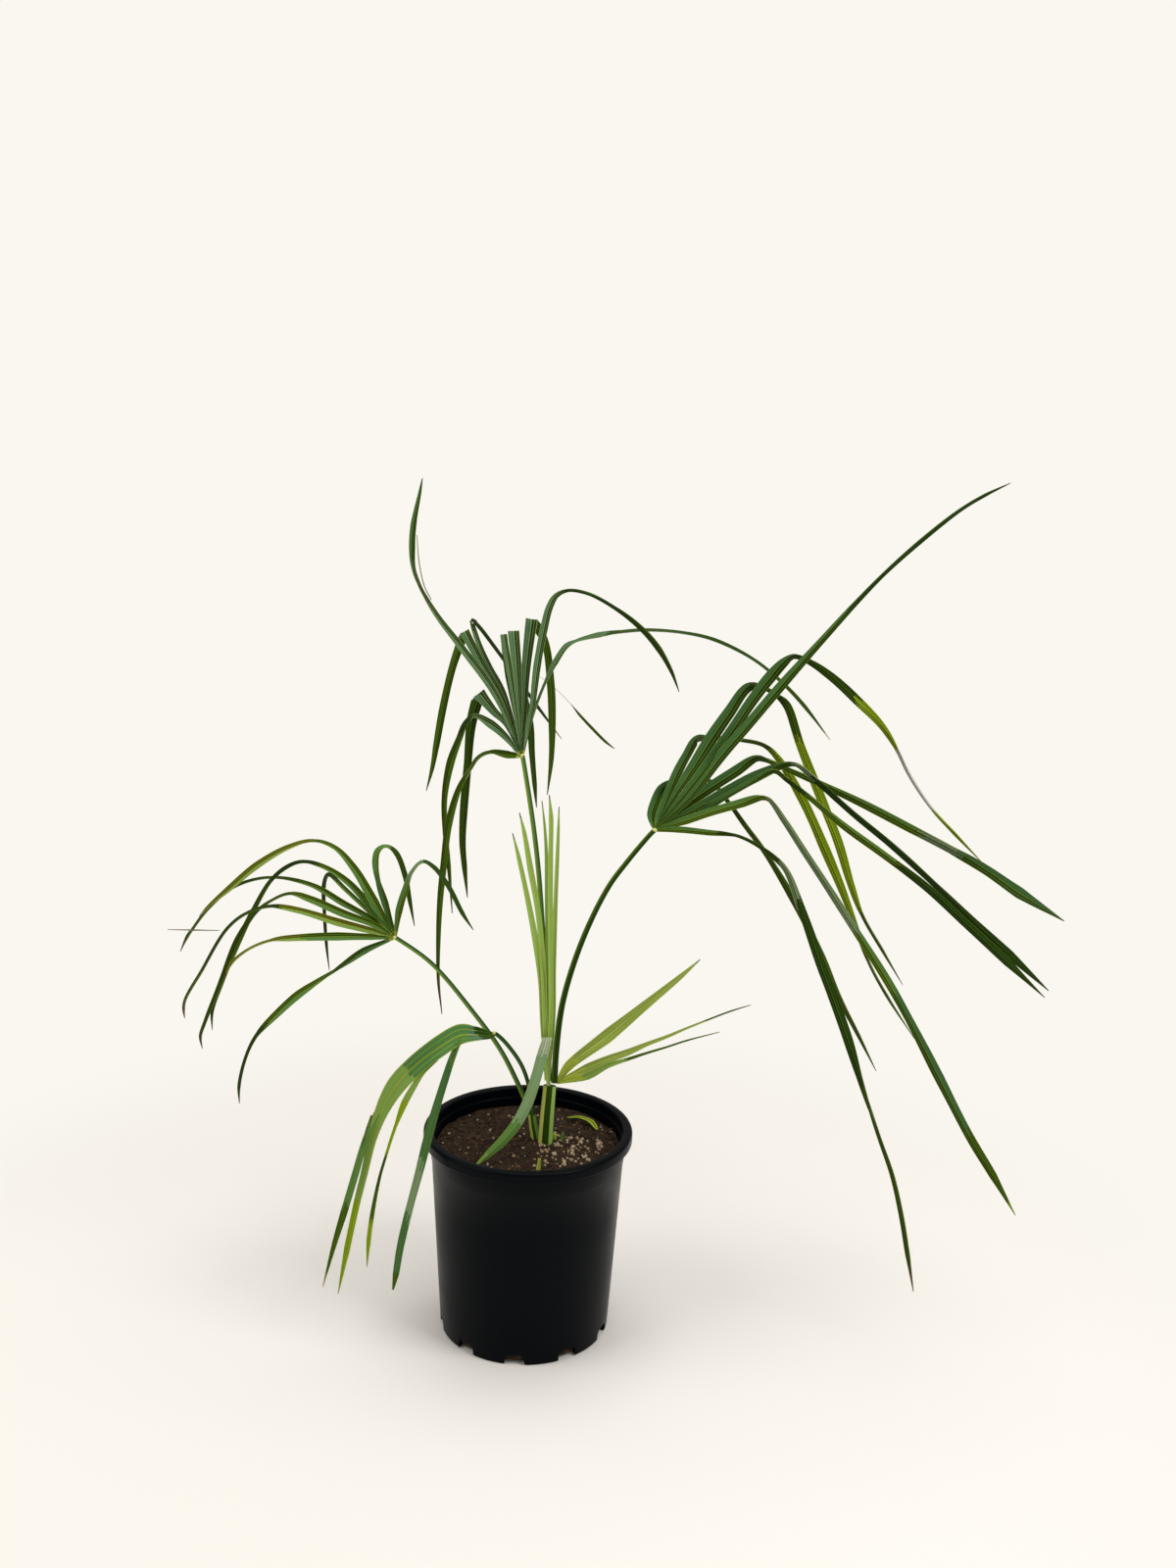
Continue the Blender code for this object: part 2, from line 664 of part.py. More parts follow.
def build_soil(plant):
    """The potting mix, a plug that fills the pot to below the rim."""
    low = POT_FLOOR + GAP
    edge_low = low + POT_FLOOR_ROUND
    profile = [
        (0.0, SOIL_TOP),
        (inner_radius(SOIL_TOP) - SOIL_CLEARANCE, SOIL_TOP),
        (inner_radius(edge_low) - SOIL_CLEARANCE, edge_low),
        (inner_radius(low) - POT_FLOOR_ROUND - SOIL_CLEARANCE, low),
        (0.0, low),
    ]
    dress(turned("soil", profile, plant), SOIL_COLOUR, SOIL_ROUGHNESS)


def build_fallen_scrap(plant):
    """A short curved scrap of leaf that lies on the potting mix."""
    points = spline([Vector(point) * MM for point in FALLEN_SCRAP], BLADE_STEPS)
    stations = []
    for i, point in enumerate(points):
        run = (points[min(i + 1, len(points) - 1)] - points[max(i - 1, 0)]).normalized()
        side = run.cross(Vector((0, 0, 1))).normalized()
        off_middle = abs(2 * i / (len(points) - 1) - 1)
        half = FALLEN_WIDTH / 2 * (1 - (1 - FALLEN_END_SHARE) * off_middle ** 2)
        stations.append((point, run, side, half))
    dress(blade_solid("fallen_scrap", stations, plant), SHOOT_COLOUR, STALK_ROUGHNESS)


def main():
    """Build the whole plant and its pot."""
    clear_scene()
    plant = new_collection(PLANT)
    cutters = new_collection("construction")
    build_pot(plant, cutters)
    build_soil(plant)
    for name, (way, radii) in STALKS.items():
        tube(name, way, radii, plant, STALK_COLOUR)
    for name, leaf in LEAVES.items():
        build_leaf(name, leaf, plant, cutters)
    for name, (foot, tip, radius) in SHOOTS.items():
        tube(name, (foot, tip), (radius, radius * SHOOT_TIP_SHARE), plant, SHOOT_COLOUR)
    build_fallen_scrap(plant)


main()
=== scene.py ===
"""Looks of a young cabbage palmetto in its nursery pot.

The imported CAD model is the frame, in metres, with the middle of the pot's underside
at the origin, +X to the viewer's right, +Y away from the viewer and +Z up.
Ribbed and folded blades, grooved stalks, a moulded pot and a loose potting mix
stand in for the plain CAD solids, each in the place of the nodes it replaces.
"""

import json
import logging
import math
import random
from collections.abc import Callable, Sequence
from dataclasses import dataclass
from enum import Enum
from typing import Any, ClassVar

import bmesh
import bpy
from mathutils import Matrix, Quaternion, Vector, noise

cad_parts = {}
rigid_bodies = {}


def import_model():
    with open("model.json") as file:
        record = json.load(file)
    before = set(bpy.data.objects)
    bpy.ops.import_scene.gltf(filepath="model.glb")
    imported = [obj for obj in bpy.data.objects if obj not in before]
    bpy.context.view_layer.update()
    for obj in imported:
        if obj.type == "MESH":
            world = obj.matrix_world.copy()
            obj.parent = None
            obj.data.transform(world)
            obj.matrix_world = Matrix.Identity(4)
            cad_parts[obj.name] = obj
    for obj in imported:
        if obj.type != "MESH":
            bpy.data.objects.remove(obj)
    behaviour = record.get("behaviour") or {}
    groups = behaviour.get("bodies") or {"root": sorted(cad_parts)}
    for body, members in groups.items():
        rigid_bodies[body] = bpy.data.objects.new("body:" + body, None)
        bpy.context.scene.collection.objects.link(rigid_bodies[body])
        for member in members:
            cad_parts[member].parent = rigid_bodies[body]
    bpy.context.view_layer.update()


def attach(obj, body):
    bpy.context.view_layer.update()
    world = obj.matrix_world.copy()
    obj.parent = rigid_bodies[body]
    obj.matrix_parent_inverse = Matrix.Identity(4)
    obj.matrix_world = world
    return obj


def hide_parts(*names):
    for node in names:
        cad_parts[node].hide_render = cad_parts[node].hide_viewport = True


MM = 0.001

Track = tuple[tuple[float, float], ...]
Way = tuple[tuple[float, ...], ...]

log = logging.getLogger("palmetto")

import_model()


def srgb(code: str) -> tuple[float, float, float, float]:
    """Turn an sRGB hex colour into the linear colour that a shader takes.

    Args:
        code: the colour as "#rrggbb".

    Returns:
        Linear red, green, blue and an alpha of one.
    """
    parts = [int(code[i:i + 2], 16) / 255 for i in (1, 3, 5)]
    linear = [part / 12.92 if part <= 0.04045 else ((part + 0.055) / 1.055) ** 2.4 for part in parts]
    return (linear[0], linear[1], linear[2], 1.0)


def add_node(tree: bpy.types.NodeTree, kind: str, inputs: dict[str | int, Any] | None = None,
             **settings: Any) -> bpy.types.Node:
    """Add a node, set it up and link it.

    Args:
        tree: the node tree it goes into.
        kind: Blender's name for the type of node.
        inputs: for each input, by name or number, a plain value or the output it is linked to.
        settings: the node's own properties.

    Returns:
        The new node.
    """
    node = tree.nodes.new(kind)
    for name, value in settings.items():
        setattr(node, name, value)
    for place, value in (inputs or {}).items():
        if isinstance(value, bpy.types.NodeSocket):
            tree.links.new(value, node.inputs[place])
        else:
            node.inputs[place].default_value = value
    return node


# Socket numbers of the Mix node in its colour form
MIX_FACTOR, MIX_A, MIX_B, MIX_RESULT = 0, 6, 7, 2


@dataclass(frozen=True)
class Finish:
    """A real material with the way its surface was made.

    Attributes:
        name: the material's name in the model.
        colour: its main colour.
        roughness: how far it spreads a reflection.
        specular: strength of its reflection, half being that of plain plastic.
    """

    name: str
    colour: str
    roughness: float
    specular: float

    def material(self) -> bpy.types.Material:
        """Make the finish's material, or find it if it was made before.

        Returns:
            The material.
        """
        known = bpy.data.materials.get(self.name)
        if known:
            return known
        made = bpy.data.materials.new(self.name)
        made.use_nodes = True
        shader = made.node_tree.nodes["Principled BSDF"]
        shader.inputs["Base Color"].default_value = srgb(self.colour)
        shader.inputs["Roughness"].default_value = self.roughness
        shader.inputs["Specular IOR Level"].default_value = self.specular
        self.pattern(made.node_tree, shader)
        made.diffuse_color = srgb(self.colour)
        return made

    def pattern(self, tree: bpy.types.NodeTree, shader: bpy.types.Node) -> None:
        """Add what the finish shows beyond its colour. The plain finish adds nothing."""


# One unit of a blade's own map is this long, across the blade and along it
MAP_UNIT = 100.0


@dataclass(frozen=True)
class LeafTissue(Finish):
    """Palm leaf, grown: fine fibres run the length of the blade, so the colour varies in long
    streaks and the sheen is drawn out along them.

    Attributes:
        streak: width of a streak in mm, drawn coarser than the real 0.2 mm to show at all.
        streak_length: length of a streak in mm.
        depth: how much darker and lighter the streaks are, as a share.
        relief: height of the fibres in mm.
    """

    streak: float = 1.1
    streak_length: float = 70.0
    depth: float = 0.22
    relief: float = 0.10

    def pattern(self, tree: bpy.types.NodeTree, shader: bpy.types.Node) -> None:
        """Lay streaks and fibre relief along the blade's own map.

        Args:
            tree: the material's node tree.
            shader: its main shader.
        """
        place = add_node(tree, "ShaderNodeUVMap", uv_map="Blade")
        along = add_node(tree, "ShaderNodeMapping", {
            "Vector": place.outputs["UV"],
            "Scale": (MAP_UNIT / self.streak, MAP_UNIT / self.streak_length, 1.0),
        })
        streaks = add_node(tree, "ShaderNodeTexNoise", {
            "Vector": along.outputs["Vector"], "Scale": 1.0, "Detail": 2.0, "Roughness": 0.55})
        spread = add_node(tree, "ShaderNodeMapRange", {
            "Value": streaks.outputs["Fac"], "From Min": 0.32, "From Max": 0.68})
        red, green, blue, _ = srgb(self.colour)
        dark, light = ((red * share, green * share, blue * share, 1.0)
                       for share in (1 - self.depth, 1 + self.depth))
        tint = add_node(tree, "ShaderNodeMix", {
            MIX_FACTOR: spread.outputs["Result"], MIX_A: dark, MIX_B: light}, data_type="RGBA")
        tree.links.new(tint.outputs[MIX_RESULT], shader.inputs["Base Color"])
        rise = add_node(tree, "ShaderNodeBump", {
            "Height": streaks.outputs["Fac"], "Strength": 0.5, "Distance": self.relief * MM})
        tree.links.new(rise.outputs["Normal"], shader.inputs["Normal"])


# Grown leaves are waxy but uneven at a small scale, so they shine softly
LEAF_ROUGHNESS = 0.45
LEAF_SPECULAR = 0.06
VEIN_ROUGHNESS = 0.48
# Painted shade: the right half of a folded blade is drawn at this share of each part of its colour, in
# place of the shade that its fold casts
PLY_SHADE = 0.70


class Tone(Enum):
    """Leaf colours: the tissue between the veins, then the veins and the blade's edges."""

    # Grown leaf under a thin grey bloom: cool, slightly milky green with pale fine veins
    BLUE_GREEN = ("#355423", "#8a9d60")
    # Grown leaf, full green: the deep green of the newest plates
    DEEP_GREEN = ("#2f500f", "#677d22")
    # Grown leaf, dark: the shaded floor of a fold
    FOREST = ("#213d07", "#486316")
    # Grown leaf, middle green: the small old fan
    MID_GREEN = ("#416409", "#829421")
    # Underside of a hanging end: yellower and duller than the face
    OLIVE = ("#395505", "#5b7112")
    # Underside with light through it: bright yellow-green
    LIME_OLIVE = ("#729206", "#aeb72f")
    # Underside in shade
    DARK_OLIVE = ("#294305", "#4d6410")
    # Painted sheen: a face turned to the sky, drawn grey-blue as the sky mirrored in its wax
    SHEEN_GREY = ("#67855c", "#9fa677")
    # Blade that mirrors the sky along its whole width: nearly white
    SHINE = ("#b9bcae", "#d6d8ce")
    # Pale grey-green drawn along the top of a young strap's fold
    BLOOM = ("#8f9f77", "#c3ccb0")
    # Newest low blades: pale yellowish green
    YOUNG_GREEN = ("#869b3b", "#adb566")
    # Young leaf: light, clear green with pale ribs
    LIGHT_GREEN = ("#6a780e", "#9e9a2b")
    # Unopened spear: lime with nearly white ribs
    LIME = ("#5a7307", "#9fa432")
    # Young strap with bloom on it: grey-green with pale edges
    GREY_GREEN = ("#546e29", "#879846")
    # Foot of a young blade: pale yellow-green
    YELLOW_GREEN = ("#9cad35", "#c0c665")
    # Hub of a fan: butter yellow
    HUB_YELLOW = ("#bdb54e", "#d6cf86")
    # Tissue starting to die: yellow tan
    TAN = ("#a3854a", "#bda671")
    # Dead tip: dull brown
    BROWN = ("#5f432c", "#85694a")
    # Bleached dry fibre
    STRAW = ("#aaa586", "#c3bd9f")

    def tissue(self) -> LeafTissue:
        """The finish between the veins."""
        return LeafTissue("leaf_" + self.name.lower(), self.value[0], LEAF_ROUGHNESS, LEAF_SPECULAR)

    def painted_shade(self) -> LeafTissue:
        """The finish between the veins of a blade's right half, darkened as painted shade of its fold.
        """
        parts = [int(self.value[0][i:i + 2], 16) for i in (1, 3, 5)]
        darker = "#{:02x}{:02x}{:02x}".format(*(round(part * PLY_SHADE) for part in parts))
        return LeafTissue("ply_" + self.name.lower(), darker, LEAF_ROUGHNESS, LEAF_SPECULAR)

    def vein(self) -> LeafTissue:
        """The finish of the veins and edges, which are corky and less streaked."""
        return LeafTissue("vein_" + self.name.lower(), self.value[1], VEIN_ROUGHNESS, LEAF_SPECULAR,
                          depth=0.12)


@dataclass(frozen=True)
class MouldedPlastic(Finish):
    """Black polypropylene, injection moulded: a satin skin with a faint fine orange peel, which
    keeps reflections soft and dark and lightens only at grazing angles.

    Attributes:
        grain: width of a dimple of the skin in mm.
        relief: depth of a dimple in mm.
        cloud: width in mm of the areas that handling has made duller or shinier.
        polish: how much less rough the shinier areas are.
        scuff: how much rougher the duller areas are.
    """

    grain: float = 1.6
    relief: float = 0.02
    cloud: float = 45.0
    polish: float = 0.05
    scuff: float = 0.07

    def pattern(self, tree: bpy.types.NodeTree, shader: bpy.types.Node) -> None:
        """Lay the moulded skin and the handled areas over the plastic.

        Args:
            tree: the material's node tree.
            shader: its main shader.
        """
        place = add_node(tree, "ShaderNodeTexCoord").outputs["Object"]
        peel = add_node(tree, "ShaderNodeTexNoise", {
            "Vector": place, "Scale": 1 / (self.grain * MM), "Detail": 2.0})
        handled = add_node(tree, "ShaderNodeTexNoise", {
            "Vector": place, "Scale": 1 / (self.cloud * MM), "Detail": 4.0})
        dull = add_node(tree, "ShaderNodeMapRange", {
            "Value": handled.outputs["Fac"], "From Min": 0.3, "From Max": 0.7,
            "To Min": self.roughness - self.polish, "To Max": self.roughness + self.scuff})
        tree.links.new(dull.outputs["Result"], shader.inputs["Roughness"])
        rise = add_node(tree, "ShaderNodeBump", {
            "Height": peel.outputs["Fac"], "Strength": 0.35, "Distance": self.relief * MM})
        tree.links.new(rise.outputs["Normal"], shader.inputs["Normal"])


@dataclass(frozen=True)
class LooseMatter(Finish):
    """Something crumbled or broken, such as peat, bark or perlite: matt, with a second colour
    in patches and a rough broken face.

    Attributes:
        second: the colour of the patches.
        patch: width of a patch in mm.
        grit: width of a grain of the broken face in mm.
        relief: height of a grain in mm.
    """

    second: str = "#000000"
    patch: float = 6.0
    grit: float = 1.2
    relief: float = 0.6

    def pattern(self, tree: bpy.types.NodeTree, shader: bpy.types.Node) -> None:
        """Lay the patches and the grit.

        Args:
            tree: the material's node tree.
            shader: its main shader.
        """
        place = add_node(tree, "ShaderNodeTexCoord").outputs["Object"]
        patches = add_node(tree, "ShaderNodeTexNoise", {
            "Vector": place, "Scale": 1 / (self.patch * MM), "Detail": 5.0, "Roughness": 0.65})
        spread = add_node(tree, "ShaderNodeMapRange", {
            "Value": patches.outputs["Fac"], "From Min": 0.38, "From Max": 0.62})
        tint = add_node(tree, "ShaderNodeMix", {
            MIX_FACTOR: spread.outputs["Result"], MIX_A: srgb(self.colour), MIX_B: srgb(self.second),
        }, data_type="RGBA")
        tree.links.new(tint.outputs[MIX_RESULT], shader.inputs["Base Color"])
        grains = add_node(tree, "ShaderNodeTexNoise", {
            "Vector": place, "Scale": 1 / (self.grit * MM), "Detail": 3.0})
        rise = add_node(tree, "ShaderNodeBump", {
            "Height": grains.outputs["Fac"], "Strength": 0.8, "Distance": self.relief * MM})
        tree.links.new(rise.outputs["Normal"], shader.inputs["Normal"])


# Satin black that reads as blue-black in front and warms where it mirrors the room
POT_PLASTIC = MouldedPlastic("polypropylene_moulded_black", "#03060a", 0.30, 0.05)
# Sphagnum peat and composted bark, damp: dark brown with nearly black patches at random
PEAT = LooseMatter("peat_mix_crumbled", "#3f2f22", 0.95, 0.15, second="#1d140e", patch=7.0)
# Fine crumbs of the same peat that lie loose on it
PEAT_CRUMB = LooseMatter("peat_crumb_dry", "#4a3a2b", 0.95, 0.15, second="#241910", patch=3.0)
# Volcanic glass popped by heat: chalky cream with tan stains
PERLITE = LooseMatter("perlite_popped", "#b9ab8d", 0.9, 0.2, second="#8d7454", patch=2.5, relief=0.4)
# Pine bark, hammer milled: red-brown chips with fibrous faces
BARK = LooseMatter("pine_bark_milled", "#5b412b", 0.88, 0.2, second="#2e1f14", patch=3.0, relief=0.4)


class Skin:
    """Points and faces of one joined piece, each face with its finish and its place on the map."""

    def __init__(self) -> None:
        """Start with no faces."""
        self.points: list[Vector] = []
        self.faces: list[tuple[int, ...]] = []
        self.finishes: list[Finish] = []
        self.places: list[tuple[tuple[float, float], ...]] = []

    def add_face(self, corners: Sequence[int], finish: Finish,
                 places: Sequence[tuple[float, float]] | None = None) -> None:
        """Add one face.

        Args:
            corners: numbers of its points.
            finish: what it is made of.
            places: its corners' places on the map, or none where no pattern reads it.
        """
        self.faces.append(tuple(corners))
        self.finishes.append(finish)
        self.places.append(tuple(places or ((0.0, 0.0),) * len(corners)))

    def loft(self, rings: Sequence[Sequence[Vector]], across: Sequence[float], along: Sequence[float],
             finish_at: Callable[[int, int], Finish]) -> None:
        """Skin closed rings of points one after the other and close both ends.

        Args:
            rings: the rings, each with the same count of points.
            across: the map's place of each point of a ring, and of the first one again, in mm.
            along: the map's place of each ring, in mm.
            finish_at: gives the finish from the numbers of a ring and of a strip along it.
        """
        first = len(self.points)
        count = len(rings[0])
        for ring in rings:
            self.points.extend(ring)
        for row in range(len(rings) - 1):
            low, high = along[row] / MAP_UNIT, along[row + 1] / MAP_UNIT
            start = first + row * count
            for strip in range(count):
                other = (strip + 1) % count
                left, right = across[strip] / MAP_UNIT, across[strip + 1] / MAP_UNIT
                self.add_face(
                    (start + strip, start + other, start + count + other, start + count + strip),
                    finish_at(row, strip),
                    ((left, low), (right, low), (right, high), (left, high)))
        last = first + (len(rings) - 1) * count
        self.add_face(range(first + count - 1, first - 1, -1), finish_at(0, 0))
        self.add_face(range(last, last + count), finish_at(len(rings) - 2, 0))

    def lump(self, centre: Vector, size: Vector, turn: Matrix, finish: Finish, chance: random.Random,
             cuts: int = 1, unevenness: float = 0.25) -> None:
        """Add an irregular closed lump.

        Args:
            centre: its middle.
            size: its half sizes.
            turn: how it lies.
            finish: what it is made of.
            chance: the source of its unevenness.
            cuts: how finely it is divided.
            unevenness: how far a point may lie off the smooth form, as a share.
        """
        form = bmesh.new()
        bmesh.ops.create_icosphere(form, subdivisions=cuts, radius=1.0)
        first = len(self.points)
        for vert in form.verts:
            swell = 1 + chance.uniform(-unevenness, unevenness)
            spot = Vector((vert.co.x * size.x, vert.co.y * size.y, vert.co.z * size.z)) * swell
            self.points.append(centre + turn @ spot)
        for face in form.faces:
            self.add_face([first + vert.index for vert in face.verts], finish)
        form.free()

    def piece(self, name: str, nodes: Sequence[str] = (),
              sharp: float = 60.0) -> bpy.types.Object:
        """Make the gathered faces one object that rides with the plant.

        Args:
            name: the piece's name.
            nodes: the CAD nodes that it stands for.
            sharp: the angle in degrees from which an edge is drawn sharp.

        Returns:
            The new object.
        """
        mesh = bpy.data.meshes.new(name)
        mesh.from_pydata(self.points, [], self.faces)
        kinds = list(dict.fromkeys(self.finishes))
        for kind in kinds:
            mesh.materials.append(kind.material())
        numbers = {kind: number for number, kind in enumerate(kinds)}
        mesh.polygons.foreach_set("material_index", [numbers[kind] for kind in self.finishes])
        chart = mesh.uv_layers.new(name="Blade")
        flat = [value for places in self.places for place in places for value in place]
        chart.data.foreach_set("uv", flat)
        outward = bmesh.new()
        outward.from_mesh(mesh)
        bmesh.ops.recalc_face_normals(outward, faces=outward.faces)
        outward.to_mesh(mesh)
        outward.free()
        mesh.shade_smooth()
        mesh.set_sharp_from_angle(angle=math.radians(sharp))
        made = bpy.data.objects.new(name, mesh)
        bpy.context.scene.collection.objects.link(made)
        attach(made, "root")
        if nodes:
            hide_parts(*nodes)
        log.info("%s: %d faces, %d finishes", name, len(mesh.polygons), len(kinds))
        return made


def smooth_step(x: float) -> float:
    """Ease from 0 to 1."""
    x = min(1.0, max(0.0, x))
    return x * x * (3 - 2 * x)


def read_track(track: Track, place: float) -> float:
    """Read a track of (knot, value) pairs at a place between its knots.

    Args:
        track: the pairs in order.
        place: the knot number, which may lie between two.

    Returns:
        The value there, held beyond either end.
    """
    if place <= track[0][0]:
        return track[0][1]
    for (start, low), (end, high) in zip(track, track[1:]):
        if place <= end:
            return low + (high - low) * (place - start) / (end - start)
    return track[-1][1]


def circle(radius: float, segments: int) -> list[tuple[float, float]]:
    """Return evenly spaced points round a circle about the pot's axis."""
    angles = [math.tau * number / segments for number in range(segments)]
    return [(radius * math.cos(angle), radius * math.sin(angle)) for angle in angles]


def run_lengths(points: Sequence[Vector]) -> list[float]:
    """Measure along a line of points.

    Args:
        points: the points.

    Returns:
        The length up to each of them.
    """
    lengths = [0.0]
    for a, b in zip(points, points[1:]):
        lengths.append(lengths[-1] + (b - a).length)
    return lengths


def spline(knots: Sequence[Vector], places: Sequence[float],
           spacing: float) -> tuple[list[Vector], list[float]]:
    """Walk the centripetal curve through the knots.

    Args:
        knots: the points it runs through.
        places: the number of each knot.
        spacing: the widest step along it.

    Returns:
        The points, and the knot place of each.
    """
    chain = [knots[0] * 2 - knots[1], *knots, knots[-1] * 2 - knots[-2]]
    points, found = [knots[0].copy()], [places[0]]
    for i in range(1, len(chain) - 2):
        p0, p1, p2, p3 = chain[i - 1:i + 3]
        t1 = math.sqrt((p1 - p0).length)
        t2 = t1 + math.sqrt((p2 - p1).length)
        t3 = t2 + math.sqrt((p3 - p2).length)
        steps = max(3, math.ceil((p2 - p1).length / spacing))
        for step in range(1, steps + 1):
            t = t1 + (t2 - t1) * step / steps
            a1 = p0.lerp(p1, t / t1)
            a2 = p1.lerp(p2, (t - t1) / (t2 - t1))
            a3 = p2.lerp(p3, (t - t2) / (t3 - t2))
            b1 = a1.lerp(a2, t / t2)
            b2 = a2.lerp(a3, (t - t1) / (t3 - t1))
            points.append(b1.lerp(b2, (t - t1) / (t2 - t1)))
            found.append(places[i - 1] + (places[i] - places[i - 1]) * step / steps)
    return points, found


def runs_along(points: Sequence[Vector]) -> list[Vector]:
    """Return the direction of travel at each point."""
    last = len(points) - 1
    return [(points[min(i + 1, last)] - points[max(i - 1, 0)]).normalized() for i in range(last + 1)]


def carried_sides(runs: Sequence[Vector], facing: Vector) -> list[Vector]:
    """Carry a side direction along a line of travel without any twist of its own.

    Args:
        runs: the direction of travel at each point.
        facing: where the upper face looks at the first point.

    Returns:
        The direction to the side at each point.
    """
    start = (facing - runs[0] * facing.dot(runs[0])).normalized()
    sides = [runs[0].cross(start)]
    for before, after in zip(runs, runs[1:]):
        sides.append(before.rotation_difference(after) @ sides[-1])
    return sides


@dataclass(frozen=True)
class Viewpoint:
    """Where the photograph was taken from: a pinhole fitted to the pot's rim, band and foot.

    Attributes:
        eye: its place in metres.
        pitch: how far it looks down, in degrees.
        roll: how far it leans, in degrees.
        focal: its focal length in pixels of the photograph.
        middle: the pixel in the middle of the photograph.
    """

    eye: Vector
    pitch: float = 11.73
    roll: float = 1.74
    focal: float = 1483.0
    middle: tuple[float, float] = (600.0, 800.0)

    def axes(self) -> tuple[Vector, Vector, Vector]:
        """Work out how the camera is turned.

        Returns:
            The directions to its right, upwards and ahead.
        """
        pitch, roll = math.radians(self.pitch), math.radians(self.roll)
        ahead = Vector((0.0, math.cos(pitch), -math.sin(pitch)))
        level_right = Vector((1.0, 0.0, 0.0))
        level_up = Vector((0.0, math.sin(pitch), math.cos(pitch)))
        right = level_right * math.cos(roll) + level_up * math.sin(roll)
        up = level_up * math.cos(roll) - level_right * math.sin(roll)
        return right, up, ahead

    def scale(self, point: Vector) -> float:
        """Return how many pixels a metre fills at a point."""
        return self.focal / (point - self.eye).dot(self.axes()[2])

    def seen(self, point: Vector) -> Vector:
        """Find the pixel that a point is seen at.

        Args:
            point: its place in metres.

        Returns:
            The pixel, from the photograph's upper left corner.
        """
        right, up, _ = self.axes()
        away = (point - self.eye) * self.scale(point)
        return Vector((self.middle[0] + away.dot(right), self.middle[1] - away.dot(up)))

    def placed(self, pixel: Vector, depth: float) -> Vector:
        """Place what is seen at a pixel.

        Args:
            pixel: where it is seen, from the photograph's upper left corner.
            depth: how far along +Y it lies, in metres.

        Returns:
            Its place in metres.
        """
        right, up, ahead = self.axes()
        across, down = (pixel.x - self.middle[0]) / self.focal, (pixel.y - self.middle[1]) / self.focal
        ray = ahead + right * across - up * down
        return self.eye + ray * ((depth - self.eye.y) / ray.y)


VIEW = Viewpoint(Vector((0.051, -1.402, 0.873)))

# How far a flat fold reaches to either side of its knot, in knots
FOLD_SHARE = 0.04

# How unevenly one colour of a blade ends and the next begins, in knots
TONE_BLUR = 0.35

# Where the strips of a blade begin and end across it, from the midrib to the edge as shares of half
# its width: half the midrib, tissue, a vein, tissue and the corky edge
STRIP_ENDS = (0.08, 0.46, 0.53, 0.90, 1.0)
ACROSS_BLADE = [-end for end in reversed(STRIP_ENDS)] + list(STRIP_ENDS)

# How a blade sways and swells along its length: over how many mm, and by what share of its width
SWAY_LENGTH = 60.0
SWELL_LENGTH = 17.0
SWELL = 0.04


@dataclass(frozen=True)
class Station:
    """One cross-section of a blade.

    Attributes:
        point: its middle.
        run: the direction towards the tip.
        side: the direction to its right edge.
        half: half its width.
        reach: the length of blade up to it.
        place: its knot number.
        open: how much of its pleat it keeps, which is none where it is folded over.
    """

    point: Vector
    run: Vector
    side: Vector
    half: float
    reach: float
    place: float
    open: float


@dataclass(frozen=True)
class Blade:
    """One segment of a fan leaf, as it was read off the photograph.

    Attributes:
        sights: (x, y, width, twist) along it, in pixels and in degrees. A blade that faces the
            viewer has no twist. The hub is knot 0 and the sights are the knots that follow.
        crest: the knot where the hanging end begins.
        back: how far behind the hub the crest, the next knot and the tip lie, in mm.
        tones: its colours, each with the knot it starts at.
        tip: the colour of the tip.
        tip_length: how much of the tip has that colour, in mm.
        over: whether it folds flat over backwards at the crest, instead of bending round.
        free: whether it starts at its first sight, knot 0, where it splits off another.
        joins: the number of the blade that it is united with, and up to what length in mm.
    """

    sights: tuple[tuple[float, ...], ...]
    crest: int
    back: tuple[float, float, float]
    tones: tuple[tuple[float, Tone], ...] = ()
    tip: Tone = Tone.BROWN
    tip_length: float = 6.0
    over: bool = False
    free: bool = False
    joins: tuple[int, float] | None = None


